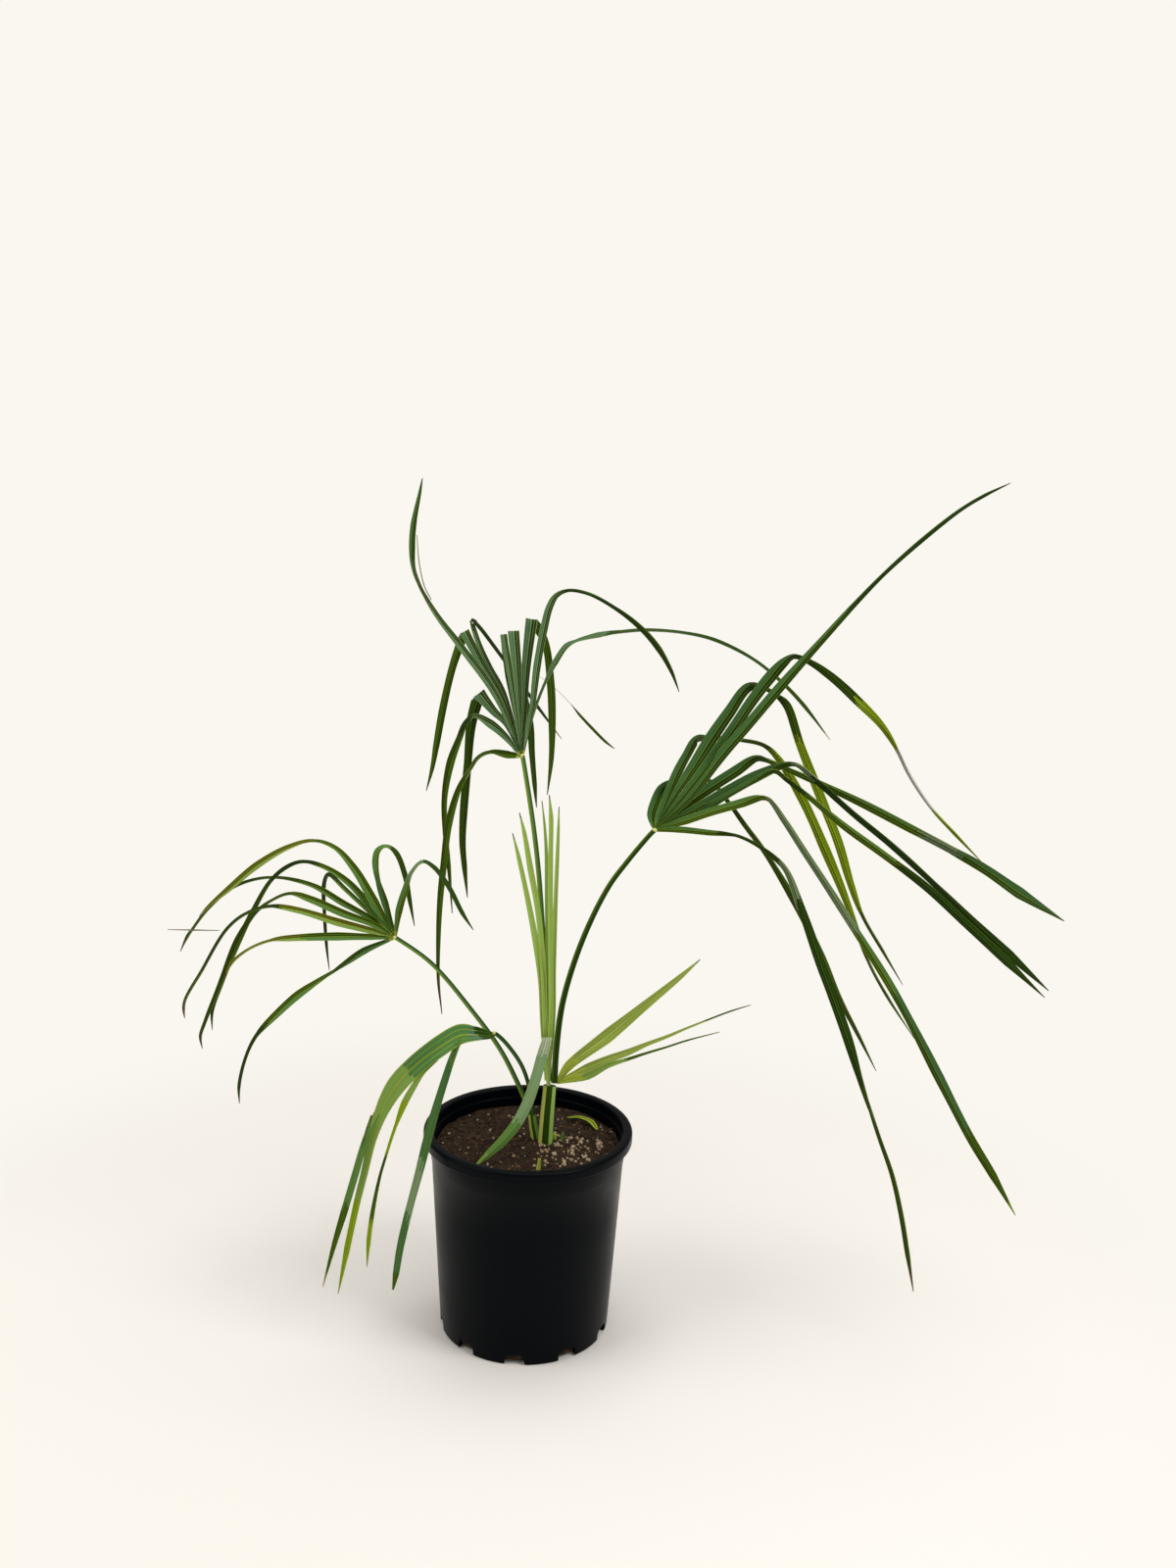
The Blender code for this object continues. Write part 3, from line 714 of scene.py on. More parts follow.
@dataclass(frozen=True)
class FanLeaf:
    """A palm leaf's fan: folded blades that are united round a hub.

    Attributes:
        name: the piece's name.
        hub: the hub's place in mm from the pot's foot.
        blades: its segments.
        slot: the record's material slot; not used.
        nodes: the CAD nodes it stands for.
        foot: the colour next to the hub.
        foot_length: how far that colour reaches, in mm.
        hub_size: half sizes of the knot of fibre at the hub, in mm.
        seed: of the small irregularities.
        root_width: width of a blade at the hub, in mm.
        pleat: depth of the fold next to the hub, as a share of half the width.
        pleat_beyond: its depth further out.
        pleat_flattens: how far out that is, in mm.
        thickness: a blade's thickness in mm.
        spacing: the widest step along a blade in mm.
        bend: how far apart the two layers of a flat fold lie, in mm.
        fold_reach: how far from a flat fold the pleat is pressed out, in mm.
        ripple: how far a blade sways in its twist, in degrees.
        folded: whether the right half of each blade is drawn darker, as painted shade of its fold.
    """

    name: str
    hub: tuple[float, float, float]
    blades: tuple[Blade, ...]
    slot: str
    nodes: tuple[str, ...]
    foot: Tone
    foot_length: float
    hub_size: tuple[float, float, float]
    seed: int
    root_width: float = 3.0
    pleat: float = 0.85
    pleat_beyond: float = 0.5
    pleat_flattens: float = 95.0
    thickness: float = 0.45
    spacing: float = 3.5
    bend: float = 2.0
    fold_reach: float = 16.0
    ripple: float = 5.0
    folded: bool = True

    def knots(self, blade: Blade) -> list[Vector]:
        """Place a blade's sights in space, from the hub if it starts there.

        Args:
            blade: the blade.

        Returns:
            Its knots.
        """
        hub = Vector(self.hub) * MM
        seen = [] if blade.free else [VIEW.seen(hub)]
        seen += [Vector(sight[:2]) for sight in blade.sights]
        lengths = run_lengths(seen)
        crest, after = blade.crest, min(blade.crest + 1, len(seen) - 1)
        marks = [(lengths[crest], blade.back[0])]
        if crest:
            marks.insert(0, (0.0, 0.0))
        if after > crest:
            marks.append((lengths[after], blade.back[1]))
        if lengths[-1] > marks[-1][0]:
            marks.append((lengths[-1], blade.back[2]))
        return [VIEW.placed(pixel, hub.y + read_track(tuple(marks), length) * MM)
                for pixel, length in zip(seen, lengths)]

    def sizes(self, blade: Blade, knots: list[Vector]) -> tuple[Track, Track]:
        """Return a blade's true width in metres and its twist in degrees, both against the knot.

        Args:
            blade: the blade.
            knots: its knots in space.

        Returns:
            The two tracks. A blade that is turned away is as much wider as it is turned.
        """
        first = len(knots) - len(blade.sights)
        widths = [(0.0, self.root_width * MM)] if first else []
        turns = []
        for number, (_, _, width, *twist) in enumerate(blade.sights, start=first):
            turn = twist[0] if twist else 0.0
            shown = math.cos(math.radians(turn)) if number < len(knots) - 1 else 1.0
            widths.append((number, width / VIEW.scale(knots[number]) / shown))
            turns.append((number, turn))
        return tuple(widths), tuple(turns)

    def fold_over(self, points: list[Vector], numbers: list[float], crest: int) -> None:
        """Bend a blade over its crest to the side where its hanging end lies.

        Args:
            points: its knots, to which two are added.
            numbers: their numbers.
            crest: the number of the crest.
        """
        top = points[crest]
        rising = (top - points[crest - 1]).normalized()
        falling = (points[crest + 1] - top).normalized()
        behind = Vector((0.0, math.copysign(self.bend * MM, points[crest + 1].y - top.y), 0.0))
        before = top - rising * self.bend * MM
        beyond = top + falling * self.bend * MM + behind
        points[crest:crest + 1] = [before, top + behind * 0.5, beyond]
        numbers[crest:crest + 1] = [crest - FOLD_SHARE, float(crest), crest + FOLD_SHARE]

    def stations(self, blade: Blade, chance: random.Random) -> list[Station]:
        """Work out a blade's cross-sections.

        Args:
            blade: the blade.
            chance: the source of its sway and swell.

        Returns:
            The cross-sections from its start to its tip.
        """
        knots = self.knots(blade)
        numbers = [float(number) for number in range(len(knots))]
        widths, turns = self.sizes(blade, knots)
        if blade.over:
            self.fold_over(knots, numbers, blade.crest)
        points, places = spline(knots, numbers, self.spacing * MM)
        lengths = run_lengths(points)
        runs = runs_along(points)
        phase = chance.uniform(0, 100)
        sides = []
        for point, run, reach, place in zip(points, runs, lengths, places):
            sway = noise.noise(Vector((reach / (SWAY_LENGTH * MM) + phase, 0.0, 0.0))) * self.ripple
            angle = read_track(turns, place) + sway
            if blade.over and place > blade.crest:
                angle += 180
            sides.append(Quaternion(run, math.radians(angle)) @ run.cross(VIEW.eye - point).normalized())
        if blade.over:
            self.carry_over(sides, points, places, blade.crest)
        top = lengths[places.index(blade.crest)]
        found = []
        for point, run, side, reach, place in zip(points, runs, sides, lengths, places):
            swell = 1 + SWELL * math.sin(reach / (SWELL_LENGTH * MM) + phase)
            width = read_track(widths, place) * swell
            unfolded = smooth_step(abs(reach - top) / (self.fold_reach * MM)) if blade.over else 1.0
            found.append(Station(point, run, side, width / 2, reach, place, unfolded))
        return found

    def carry_over(self, sides: list[Vector], points: list[Vector], places: list[float],
                   crest: int) -> None:
        """Start the hanging end of a folded blade along its fold, and ease it into its own line.

        Args:
            sides: the side direction at each station, which this changes.
            points: the stations' middles.
            places: the knot place of each.
            crest: the knot of the fold.
        """
        start = next(i for i, place in enumerate(places) if place > crest - FOLD_SHARE * 1.01)
        for i in range(start, len(places)):
            eased = smooth_step((points[i] - points[start]).length / (self.fold_reach * MM))
            sides[i] = sides[start - 1].lerp(sides[i], eased).normalized()

    @staticmethod
    def edges(station: Station, seams: list[tuple[list[Station], float]]) -> tuple[Vector, Vector]:
        """Draw a cross-section's edges in to its seams with others.

        Args:
            station: the cross-section.
            seams: for each blade it is united with, that one's cross-sections and up to what
                length in mm. The seam opens over the last three tenths of that.

        Returns:
            The left and the right edge.
        """
        left = station.point - station.side * station.half
        right = station.point + station.side * station.half
        for neighbour, length in seams:
            held = 1 - smooth_step((station.reach / MM - 0.7 * length) / (0.3 * length))
            if held <= 0:
                continue
            beside = min(neighbour, key=lambda other: abs(other.reach - station.reach)).point
            shared = (station.point + beside) / 2
            if (beside - station.point).dot(station.side) > 0:
                right = right.lerp(shared, held)
            else:
                left = left.lerp(shared, held)
        return left, right

    def section(self, station: Station, left: Vector, right: Vector) -> list[Vector]:
        """Return the ring of points round one cross-section of a blade.

        Args:
            station: the cross-section.
            left: its left edge.
            right: its right edge.

        Returns:
            The points of the upper face from left to right, then of the underside back again.
        """
        face = station.side.cross(station.run)
        flattened = smooth_step(station.reach / (self.pleat_flattens * MM))
        pleat = (self.pleat + (self.pleat_beyond - self.pleat) * flattened) * station.open
        sunk = station.point - face * pleat * station.half
        thick = min(self.thickness * MM, station.half) / 2
        middle = [sunk.lerp(right if share > 0 else left, abs(share)) for share in ACROSS_BLADE]
        upper = [point + face * thick for point in middle]
        under = [point - face * thick for point in reversed(middle)]
        return upper + under

    def add_blade(self, skin: Skin, blade: Blade, stations: list[Station],
                  seams: list[tuple[list[Station], float]], chance: random.Random) -> None:
        """Skin one blade.

        Args:
            skin: the piece it is added to.
            blade: the blade.
            stations: its cross-sections.
            seams: the cross-sections of each blade it is united with, and up to what length.
            chance: the source of its irregularities.
        """
        rings = [self.section(station, *self.edges(station, seams)) for station in stations]
        total = stations[-1].reach
        strips = len(rings[0])
        foot = [self.foot_length * MM * chance.uniform(0.6, 1.25) for _ in range(strips)]
        dying = [blade.tip_length * MM * chance.uniform(0.6, 1.3) for _ in range(strips)]
        blur = [chance.uniform(0, TONE_BLUR) for _ in range(strips)]
        columns = 2 * len(STRIP_ENDS) - 1

        def finish_at(row: int, strip: int) -> Finish:
            """Return the finish of one face, from its row along the blade and its strip round it."""
            station = stations[row]
            if station.reach < foot[strip] and not blade.free:
                tone = self.foot
            elif total - station.reach < dying[strip]:
                tone = blade.tip
            else:
                tone = [tone for start, tone in blade.tones if start <= station.place + blur[strip]][-1]
            within = strip % (columns + 1)
            if within % 2 == 0 or within >= columns:
                return tone.vein()
            # Painted shade: when the leaf is folded, the tissue of a blade's right half takes the
            # darkened colour in place of its fold's shade
            on_right = (within > columns // 2) == (strip <= columns)
            return tone.painted_shade() if on_right and self.folded else tone.tissue()

        half = max(station.half for station in stations) / MM
        offset = chance.uniform(0, 500)
        over = [offset + share * half for share in ACROSS_BLADE]
        across = over + list(reversed(over)) + [over[0]]
        along = [offset + station.reach / MM for station in stations]
        skin.loft(rings, across, along, finish_at)

    def build(self) -> bpy.types.Object:
        """Build the whole fan as one piece.

        Returns:
            The piece.
        """
        chance = random.Random(self.seed)
        skin = Skin()
        every = [self.stations(blade, chance) for blade in self.blades]
        seams: list[list[tuple[list[Station], float]]] = [[] for _ in every]
        for number, blade in enumerate(self.blades):
            if blade.joins:
                other, length = blade.joins
                seams[number].insert(0, (every[other - 1], length))
                seams[other - 1].append((every[number], length))
        for blade, stations, sewn in zip(self.blades, every, seams):
            self.add_blade(skin, blade, stations, sewn, chance)
        if max(self.hub_size) > 0:
            skin.lump(Vector(self.hub) * MM, Vector(self.hub_size) * MM, Matrix.Identity(3),
                      Tone.HUB_YELLOW.vein(), chance, cuts=3, unevenness=0.06)
        return skin.piece(self.name, self.nodes)


def tail_nodes(name: str, numbers: Sequence[int]) -> tuple[str, ...]:
    """Return the CAD nodes of a fan: its rising blades, then each hanging end."""
    return (name, *[f"{name}_tail_{number}" for number in numbers])


CENTRE_LEAF = FanLeaf(
    name="centre_leaf", hub=(-17, 60, 596), slot="leaf_blue_green",
    nodes=tail_nodes("centre_fan", range(1, 13)),
    foot=Tone.YELLOW_GREEN, foot_length=5, hub_size=(2.4, 2.2, 3.0), seed=11,
    blades=(
        Blade(((506, 710, 7), (472, 662, 7, 20), (446, 628, 5.5, 40), (430, 601, 3, 68),
               (422, 580, 4, 50), (420.5, 558, 6.3, 20), (422, 535, 6.3, 15), (428.5, 502, 3.2, 15),
               (431, 488, 0.8, 15)),
              4, (15, 18, 30), ((0, Tone.BLUE_GREEN), (5.4, Tone.DEEP_GREEN)), tip=Tone.FOREST,
              tip_length=8, joins=(2, 26)),
        Blade(((512, 713, 6), (490, 675, 8.5), (474, 644.5, 9.5), (462, 680, 8), (452.5, 720, 7.6),
               (445.3, 760, 6.6), (441, 784, 4.5), (435, 807, 0.8)),
              3, (25, 38, 50), ((0, Tone.BLUE_GREEN), (3.3, Tone.OLIVE)), over=True, joins=(7, 45)),
        Blade(((513, 706, 6), (499, 680, 6.5), (487.5, 654, 5.5, 20), (482, 634, 3, 65),
               (489, 640, 3, 70), (505, 661, 3, 70), (549, 722, 2.6, 70), (573, 754, 1, 70)),
              4, (45, 58, 85), ((0, Tone.BLUE_GREEN), (3.6, Tone.FOREST)), tip=Tone.TAN, tip_length=14),
        Blade(((516, 738, 6), (504, 726, 8.5), (489, 707.5, 12.5), (481, 738, 10.5), (477.2, 780, 8.2),
               (473, 830, 8), (472, 860, 7), (474, 885, 5.5), (477, 916, 0.8)),
              3, (15, 30, 42), ((0, Tone.BLUE_GREEN), (3.3, Tone.DARK_OLIVE)), over=True,
              joins=(1, 28)),
        Blade(((515, 751, 7), (501, 739, 9, 15), (484, 730, 3, 68), (475, 738, 5.5, 60),
               (468.5, 754, 6.5, 45), (459.5, 779, 8, 20), (453.5, 815, 6, 20), (454.5, 850, 5.5, 25),
               (458, 885, 4, 30), (461.5, 932, 0.8, 30)),
              3, (8, 10, 20), ((0, Tone.BLUE_GREEN), (3.5, Tone.FOREST), (5, Tone.OLIVE)),
              joins=(4, 24)),
        Blade(((518, 770, 8), (500, 767, 2.6, 68), (488, 772, 2.2, 75), (479, 786, 3.5, 60),
               (469, 803, 5.2, 45), (458, 840, 7.5, 15), (453, 880, 7, 10), (449, 920, 5.8, 10),
               (447.3, 960, 4.8, 10), (447.3, 1000, 3, 10), (451, 1035, 0.8, 10)),
              2, (-4, -8, -15), ((0, Tone.OLIVE), (3.9, Tone.GREY_GREEN), (4.5, Tone.OLIVE)),
              tip_length=34, joins=(5, 12)),
        Blade(((526.5, 727, 3.8), (519, 681, 6), (513.8, 647.5, 7), (519, 690, 7), (531, 760, 0.8)),
              3, (18, 30, 36), ((0, Tone.BLUE_GREEN), (3.3, Tone.DARK_OLIVE)), over=True,
              joins=(8, 122)),
        Blade(((530, 727, 6), (527, 681, 10.5), (524, 644, 11.5), (530, 690, 8), (541, 740, 7),
               (542.8, 768, 6.4), (545.5, 800, 5), (547.5, 824, 0.8)),
              3, (20, 34, 50), ((0, Tone.BLUE_GREEN), (3.3, Tone.DARK_OLIVE)), over=True,
              joins=(9, 62)),
        Blade(((534.5, 730, 6), (537, 680, 9.5), (542.5, 632, 12), (556, 655, 8), (562, 698, 8),
               (563.4, 740, 7.4), (562.5, 775, 5.4), (558.5, 811, 0.8)),
              3, (35, 48, 62), ((0, Tone.BLUE_GREEN), (3.3, Tone.OLIVE)), over=True, joins=(10, 50)),
        Blade(((543, 722, 5.5), (548, 680, 8), (555, 642, 8.3), (561, 619, 7.2, 20),
               (568, 607.5, 5, 50), (580, 602.7, 2.5, 70), (602, 607, 2.3, 75), (632, 623.5, 3.8, 60),
               (655, 642, 5, 50), (672, 662, 6, 45), (685, 685, 4, 50), (693, 706, 0.8, 50)),
              6, (15, 17, 30), ((0, Tone.BLUE_GREEN), (5.6, Tone.FOREST), (8.7, Tone.DARK_OLIVE)),
              joins=(11, 36)),
        Blade(((543, 731, 2.3, -65), (557, 695, 2.8, -60), (567, 675, 6, -30), (578, 659, 5.5, -40),
               (587.5, 654, 2.6, -68), (610, 648, 5.6, -45), (635, 644, 2.2, -75),
               (662, 642.3, 2.1, -76), (700, 645.5, 2, -76), (730, 653, 3, -68), (770, 673, 2, -76),
               (800, 698, 3, -68), (822, 722, 3.4, -65), (847, 755, 0.8, -65)),
              5, (40, 45, 110), ((0, Tone.BLUE_GREEN), (6.5, Tone.FOREST), (11.5, Tone.DARK_OLIVE)),
              tip=Tone.TAN, tip_length=12),
        Blade(((541, 733, 0.3), (545, 690, 0.3), (560, 697, 0.3), (582, 718, 0.4), (591, 729, 2.6),
               (604, 743, 3.2), (618, 757, 2.8), (627, 764, 0.8)),
              2, (70, 85, 115), ((0, Tone.OLIVE),), tip=Tone.TAN, tip_length=3),
        Blade(((440, 612, 1.2), (433, 598, 1.3), (427.5, 573, 1.4), (425.5, 546, 1)),
              0, (15, 15, 14), ((0, Tone.STRAW),), tip=Tone.STRAW, free=True),
    ),
)

RIGHT_LEAF = FanLeaf(
    name="right_leaf", hub=(121, 55, 524), slot="leaf_deep_green",
    nodes=tail_nodes("right_fan", range(1, 11)),
    foot=Tone.MID_GREEN, foot_length=9, hub_size=(2.8, 2.4, 2.4), seed=23,
    blades=(
        Blade(((664.5, 832, 9), (669.5, 817, 11), (675.5, 806, 11, 10), (684, 800, 8, 40),
               (700, 796, 5, 60), (724, 797, 4, 65), (742, 817, 4, 65), (760, 842, 4.6, 60),
               (780, 869, 5, 55), (808, 915, 7, 45), (838, 975, 7, 45), (856, 1018, 5.5, 50),
               (875, 1055, 3.8, 60), (894, 1093, 0.8, 60)),
              4, (22, 36, 110), ((0, Tone.DEEP_GREEN), (5, Tone.DARK_OLIVE), (8, Tone.OLIVE)),
              joins=(2, 46)),
        Blade(((683, 808, 10.5), (692, 786, 10), (701, 770, 9.5), (709.5, 756, 8.5, 30),
               (722, 753.5, 4, 68), (755, 755.5, 3.2, 72), (780, 761, 4, 65), (794, 774, 6.5, 45),
               (820, 818, 9.5, 10), (842, 867, 10, 5), (858, 905, 8.5, 5), (873, 945, 5, 40),
               (886, 982, 2, 75), (905, 1017, 2, 75), (933, 1060, 0.8, 75)),
              4, (26, 42, 95), ((0, Tone.DEEP_GREEN), (5.5, Tone.OLIVE), (7.6, Tone.LIME_OLIVE),
              (12, Tone.OLIVE)), joins=(3, 84)),
        Blade(((690, 809, 10), (706, 785, 12.5), (724, 756, 13), (744, 727, 12.5), (763, 702, 10.5, 20),
               (780, 703, 2.8, 75), (793, 710, 4, 65), (803, 720, 8, 25), (816.5, 760, 9),
               (840, 820, 9.5), (855.5, 860, 9.8), (868, 902, 7, 20), (880, 935, 3, 70),
               (900, 970, 2.1, 75), (921, 1005, 0.8, 75)),
              5, (28, 38, 80), ((0, Tone.DEEP_GREEN), (5.2, Tone.DARK_OLIVE), (8, Tone.OLIVE),
              (9, Tone.LIME_OLIVE), (13, Tone.OLIVE)), joins=(4, 105)),
        Blade(((697, 812, 9), (720, 783, 11.5), (744, 750, 12), (766, 717, 12), (785, 692, 12),
               (801, 675.5, 9, 35), (813, 670.5, 3.6, 72), (827, 676, 6, 50), (850, 692, 8.8, 15),
               (878, 718, 9.2), (900, 741, 7.2, 20), (914, 763, 3.8, 62), (928, 792, 2.2, 76),
               (950, 825, 2, 76), (975, 852, 3.2, 66), (1002, 880, 0.8, 66)),
              6, (18, 26, 45), ((0, Tone.DEEP_GREEN), (6.5, Tone.DARK_OLIVE), (10, Tone.LIME_OLIVE),
              (12.2, Tone.SHINE), (14.2, Tone.LIME_OLIVE)), tip=Tone.TAN, tip_length=7, joins=(5, 115)),
        Blade(((702, 815, 9), (735, 772, 11), (762, 741, 11), (800, 696.5, 9.5, 10), (840, 652, 7, 30),
               (870, 619, 5, 45), (903, 585, 4, 55), (940, 552, 4.4, 50), (980, 520.5, 3.6, 55),
               (1005, 505.5, 3.4, 55), (1031, 493, 0.8, 55)),
              4, (4, 5, 10), ((0, Tone.DEEP_GREEN), (6, Tone.FOREST)), tip_length=6),
        Blade(((703, 819, 9), (725, 803.5, 11.5), (750, 787.5, 12), (772, 774, 7, 50),
               (784, 777, 3.6, 72), (803, 785, 4.6, 66), (835, 799, 6.5, 50), (880, 820, 8, 35),
               (930, 846, 9, 30), (970, 867, 8, 35), (1005, 887, 10, 10), (1040, 911, 12.5),
               (1086, 940, 0.8)),
              4, (8, 10, 15), ((0, Tone.DEEP_GREEN), (5, Tone.MID_GREEN), (9.4, Tone.SHEEN_GREY),
              (10.4, Tone.DEEP_GREEN)), tip=Tone.OLIVE, tip_length=10, joins=(7, 72)),
        Blade(((706, 827, 9), (735, 812, 12), (770, 793, 12), (803, 780, 6, 50), (813, 781, 3.5, 72),
               (833, 797, 5.5, 58), (870, 830, 6, 55), (910, 863, 6, 55), (955, 904, 6, 55),
               (990, 938, 8, 35), (1030, 974, 9.5, 10), (1070, 1011, 0.8, 10)),
              4, (-3, -5, -12), ((0, Tone.DEEP_GREEN), (4.6, Tone.SHEEN_GREY), (6, Tone.FOREST)),
              tip=Tone.OLIVE, tip_length=10, joins=(8, 62)),
        Blade(((707, 834, 8), (735, 816, 7), (765, 799, 5), (790, 787, 4, 60), (803, 796, 4, 66),
               (825, 813, 5.5, 55), (860, 842, 7, 40), (900, 871, 7.6, 35), (945, 905, 7.6, 35),
               (985, 942, 8.5, 20), (1028, 982, 8, 10), (1066, 1018, 0.8, 10)),
              4, (-16, -20, -36), ((0, Tone.DEEP_GREEN), (5, Tone.FOREST), (6, Tone.MID_GREEN),
              (8.5, Tone.FOREST)), tip=Tone.OLIVE, tip_length=10),
        Blade(((700, 837, 8.5), (725, 828.5, 9), (755, 820, 9.5), (777, 814, 5, 58),
               (785, 816.5, 4, 66), (800, 837, 6.4, 40), (820, 868, 7, 30), (845, 906, 7, 30),
               (870, 945, 8, 20), (905, 1000, 8.5, 10), (927.5, 1040, 8.5), (958.5, 1100, 10),
               (989.5, 1160, 8.6), (1013.5, 1200, 8), (1036, 1240, 0.8)),
              4, (-24, -28, -62), ((0, Tone.MID_GREEN), (4.4, Tone.SHEEN_GREY), (9.2, Tone.MID_GREEN),
              (10.4, Tone.DEEP_GREEN), (13, Tone.OLIVE)), tip=Tone.LIME_OLIVE, tip_length=16),
        Blade(((692, 846.5, 6.5), (722, 849.5, 6, 20), (750, 852.5, 2.6, 70), (770, 861, 3, 68),
               (790, 875, 4.6, 55), (802, 888, 5.5, 45), (818, 928, 8.4, 10), (838, 985, 10),
               (851, 1020, 10.5), (865, 1060, 9.6), (877, 1100, 6.2, 40), (888.5, 1136, 1.8, 79),
               (898.5, 1165, 3.6, 62), (910.5, 1200, 4.8, 50), (919.5, 1240, 4.8, 50),
               (926, 1280, 4.6, 50), (932, 1318, 0.8, 50)),
              3, (-26, -30, -80), ((0, Tone.MID_GREEN), (2.6, Tone.DARK_OLIVE), (5.6, Tone.SHEEN_GREY),
              (7, Tone.FOREST), (11.5, Tone.OLIVE)), tip_length=26),
    ),
)

LEFT_LEAF = FanLeaf(
    name="left_leaf", hub=(-146, 55, 400), slot="leaf_mid_green",
    nodes=tail_nodes("left_fan", range(1, 11)),
    foot=Tone.YELLOW_GREEN, foot_length=6, hub_size=(2.6, 2.2, 2.2), seed=37,
    blades=(
        Blade(((372, 970, 7), (352, 983, 5, 45), (340, 991, 2.3, 72), (320, 1004, 6, 40),
               (303, 1016, 8.6), (283, 1034, 7.4, 10), (262, 1056, 3.6, 60), (251, 1078, 3.2, 64),
               (243.8, 1108, 2.8, 68), (244.3, 1126, 0.8, 68)),
              2, (-20, -22, -50), ((0, Tone.DEEP_GREEN), (3.3, Tone.MID_GREEN), (6.6, Tone.DARK_OLIVE)),
              tip_length=8),
        Blade(((380, 956, 6.5), (345, 955.5, 8.6), (300, 957, 6.6, 10), (275, 959.5, 2.2, 72),
               (252, 969, 1.8, 76), (235, 984, 2.4, 70), (230, 998, 0.8, 70)),
              3, (-12, -13, -28), ((0, Tone.MID_GREEN), (3, Tone.LIGHT_GREEN)), joins=(3, 30)),
        Blade(((380, 950, 6.5), (345, 941, 8.2), (305, 929, 6.6, 10), (275, 924.5, 2.5, 70),
               (250, 932, 2, 76), (231, 948, 2.7, 70), (205, 991, 2, 76), (188.5, 1020, 1.8, 76),
               (187, 1030, 2, 74), (188.5, 1039, 1, 74)),
              4, (-4, -5, -10), ((0, Tone.LIGHT_GREEN), (3.7, Tone.DARK_OLIVE), (7, Tone.OLIVE)),
              tip_length=18, joins=(4, 28)),
        Blade(((380, 943, 6.5), (350, 932, 8.2), (318, 918, 7, 10), (296, 911.5, 2.5, 70),
               (276, 919, 1.8, 76), (259, 933, 4, 60), (242, 960, 6, 45), (224, 1005, 5, 50),
               (209, 1043, 3, 65), (204.2, 1058, 2, 74), (206.5, 1070, 0.8, 74)),
              4, (4, 4, 4), ((0, Tone.MID_GREEN), (4, Tone.OLIVE)), tip_length=16, joins=(7, 26)),
        Blade(((378, 937, 5.5), (350, 921.5, 6.8), (318, 903, 4.4, 45), (275, 895, 2, 74),
               (240, 904, 2.6, 70), (213, 926, 2.2, 74), (196, 948, 1.8, 76), (190, 957, 2.8, 70),
               (184, 971, 0.8, 70)),
              4, (32, 34, 50), ((0, Tone.MID_GREEN), (3.4, Tone.OLIVE), (4.4, Tone.FOREST),
              (5.6, Tone.OLIVE)), tip_length=16),
        Blade(((372, 926, 4.5), (352, 907, 4.6, 30), (336, 892.5, 3, 66), (330.5, 904, 4.2, 55),
               (331, 930, 3.4, 60), (333, 963, 2.6, 66), (336, 990, 0.8, 66)),
              3, (44, 58, 66), ((0, Tone.MID_GREEN), (2.6, Tone.FOREST)), tip=Tone.DARK_OLIVE),
        Blade(((378, 925, 7.5), (355, 900, 6.8, 20), (332, 885, 4.8, 45), (310, 879, 2.6, 70),
               (292, 885, 4, 60), (276, 899, 4, 60), (258, 930, 5, 50), (240, 968, 6, 40),
               (226, 1003, 4.6, 50), (216.5, 1032, 2.8, 66), (216.5, 1051, 0.8, 66)),
              4, (12, 18, 28), ((0, Tone.MID_GREEN), (3.4, Tone.FOREST), (6, Tone.OLIVE),
              (9.6, Tone.FOREST)), tip_length=8, joins=(8, 26)),
        Blade(((382, 921, 9.5), (362, 887, 8, 10), (342, 865, 4.6, 45), (320, 857.5, 2.3, 72),
               (295, 864, 5, 50), (262, 883, 7.6, 20), (232, 908, 5.6, 40), (212, 925, 2.4, 68),
               (203, 935, 0.8, 68)),
              4, (8, 8, 20), ((0, Tone.MID_GREEN), (4.4, Tone.LIGHT_GREEN)), tip=Tone.STRAW,
              tip_length=8),
        Blade(((393, 922, 7.6), (386, 900, 4.6, -50), (383, 880, 6.5, -35), (385.5, 868, 6, -40),
               (394, 863, 2.6, -70), (404, 870, 5.4, -50), (413, 892, 5.4, -50), (418, 918, 4, -60),
               (423, 945, 0.8, -60)),
              5, (6, 8, 14), ((0, Tone.DEEP_GREEN), (2.4, Tone.MID_GREEN), (5.5, Tone.DARK_OLIVE)),
              tip=Tone.OLIVE, joins=(8, 22)),
        Blade(((407, 930, 7.4), (413, 909, 6, -30), (420, 890, 3.6, -55), (431, 879, 3, -66),
               (443, 885, 4.6, -55), (458, 905, 4.8, -50), (472, 932, 4, -58), (483, 949, 0.8, -58)),
              4, (-14, -22, -34), ((0, Tone.MID_GREEN), (2.6, Tone.SHEEN_GREY), (4, Tone.FOREST)),
              tip=Tone.FOREST, joins=(9, 18)),
        Blade(((171, 948.5, 0.8), (197, 949, 1.6), (224, 949.5, 0.8)),
              0, (46, 44, 42), ((0, Tone.STRAW),), tip=Tone.STRAW, free=True),
    ),
)

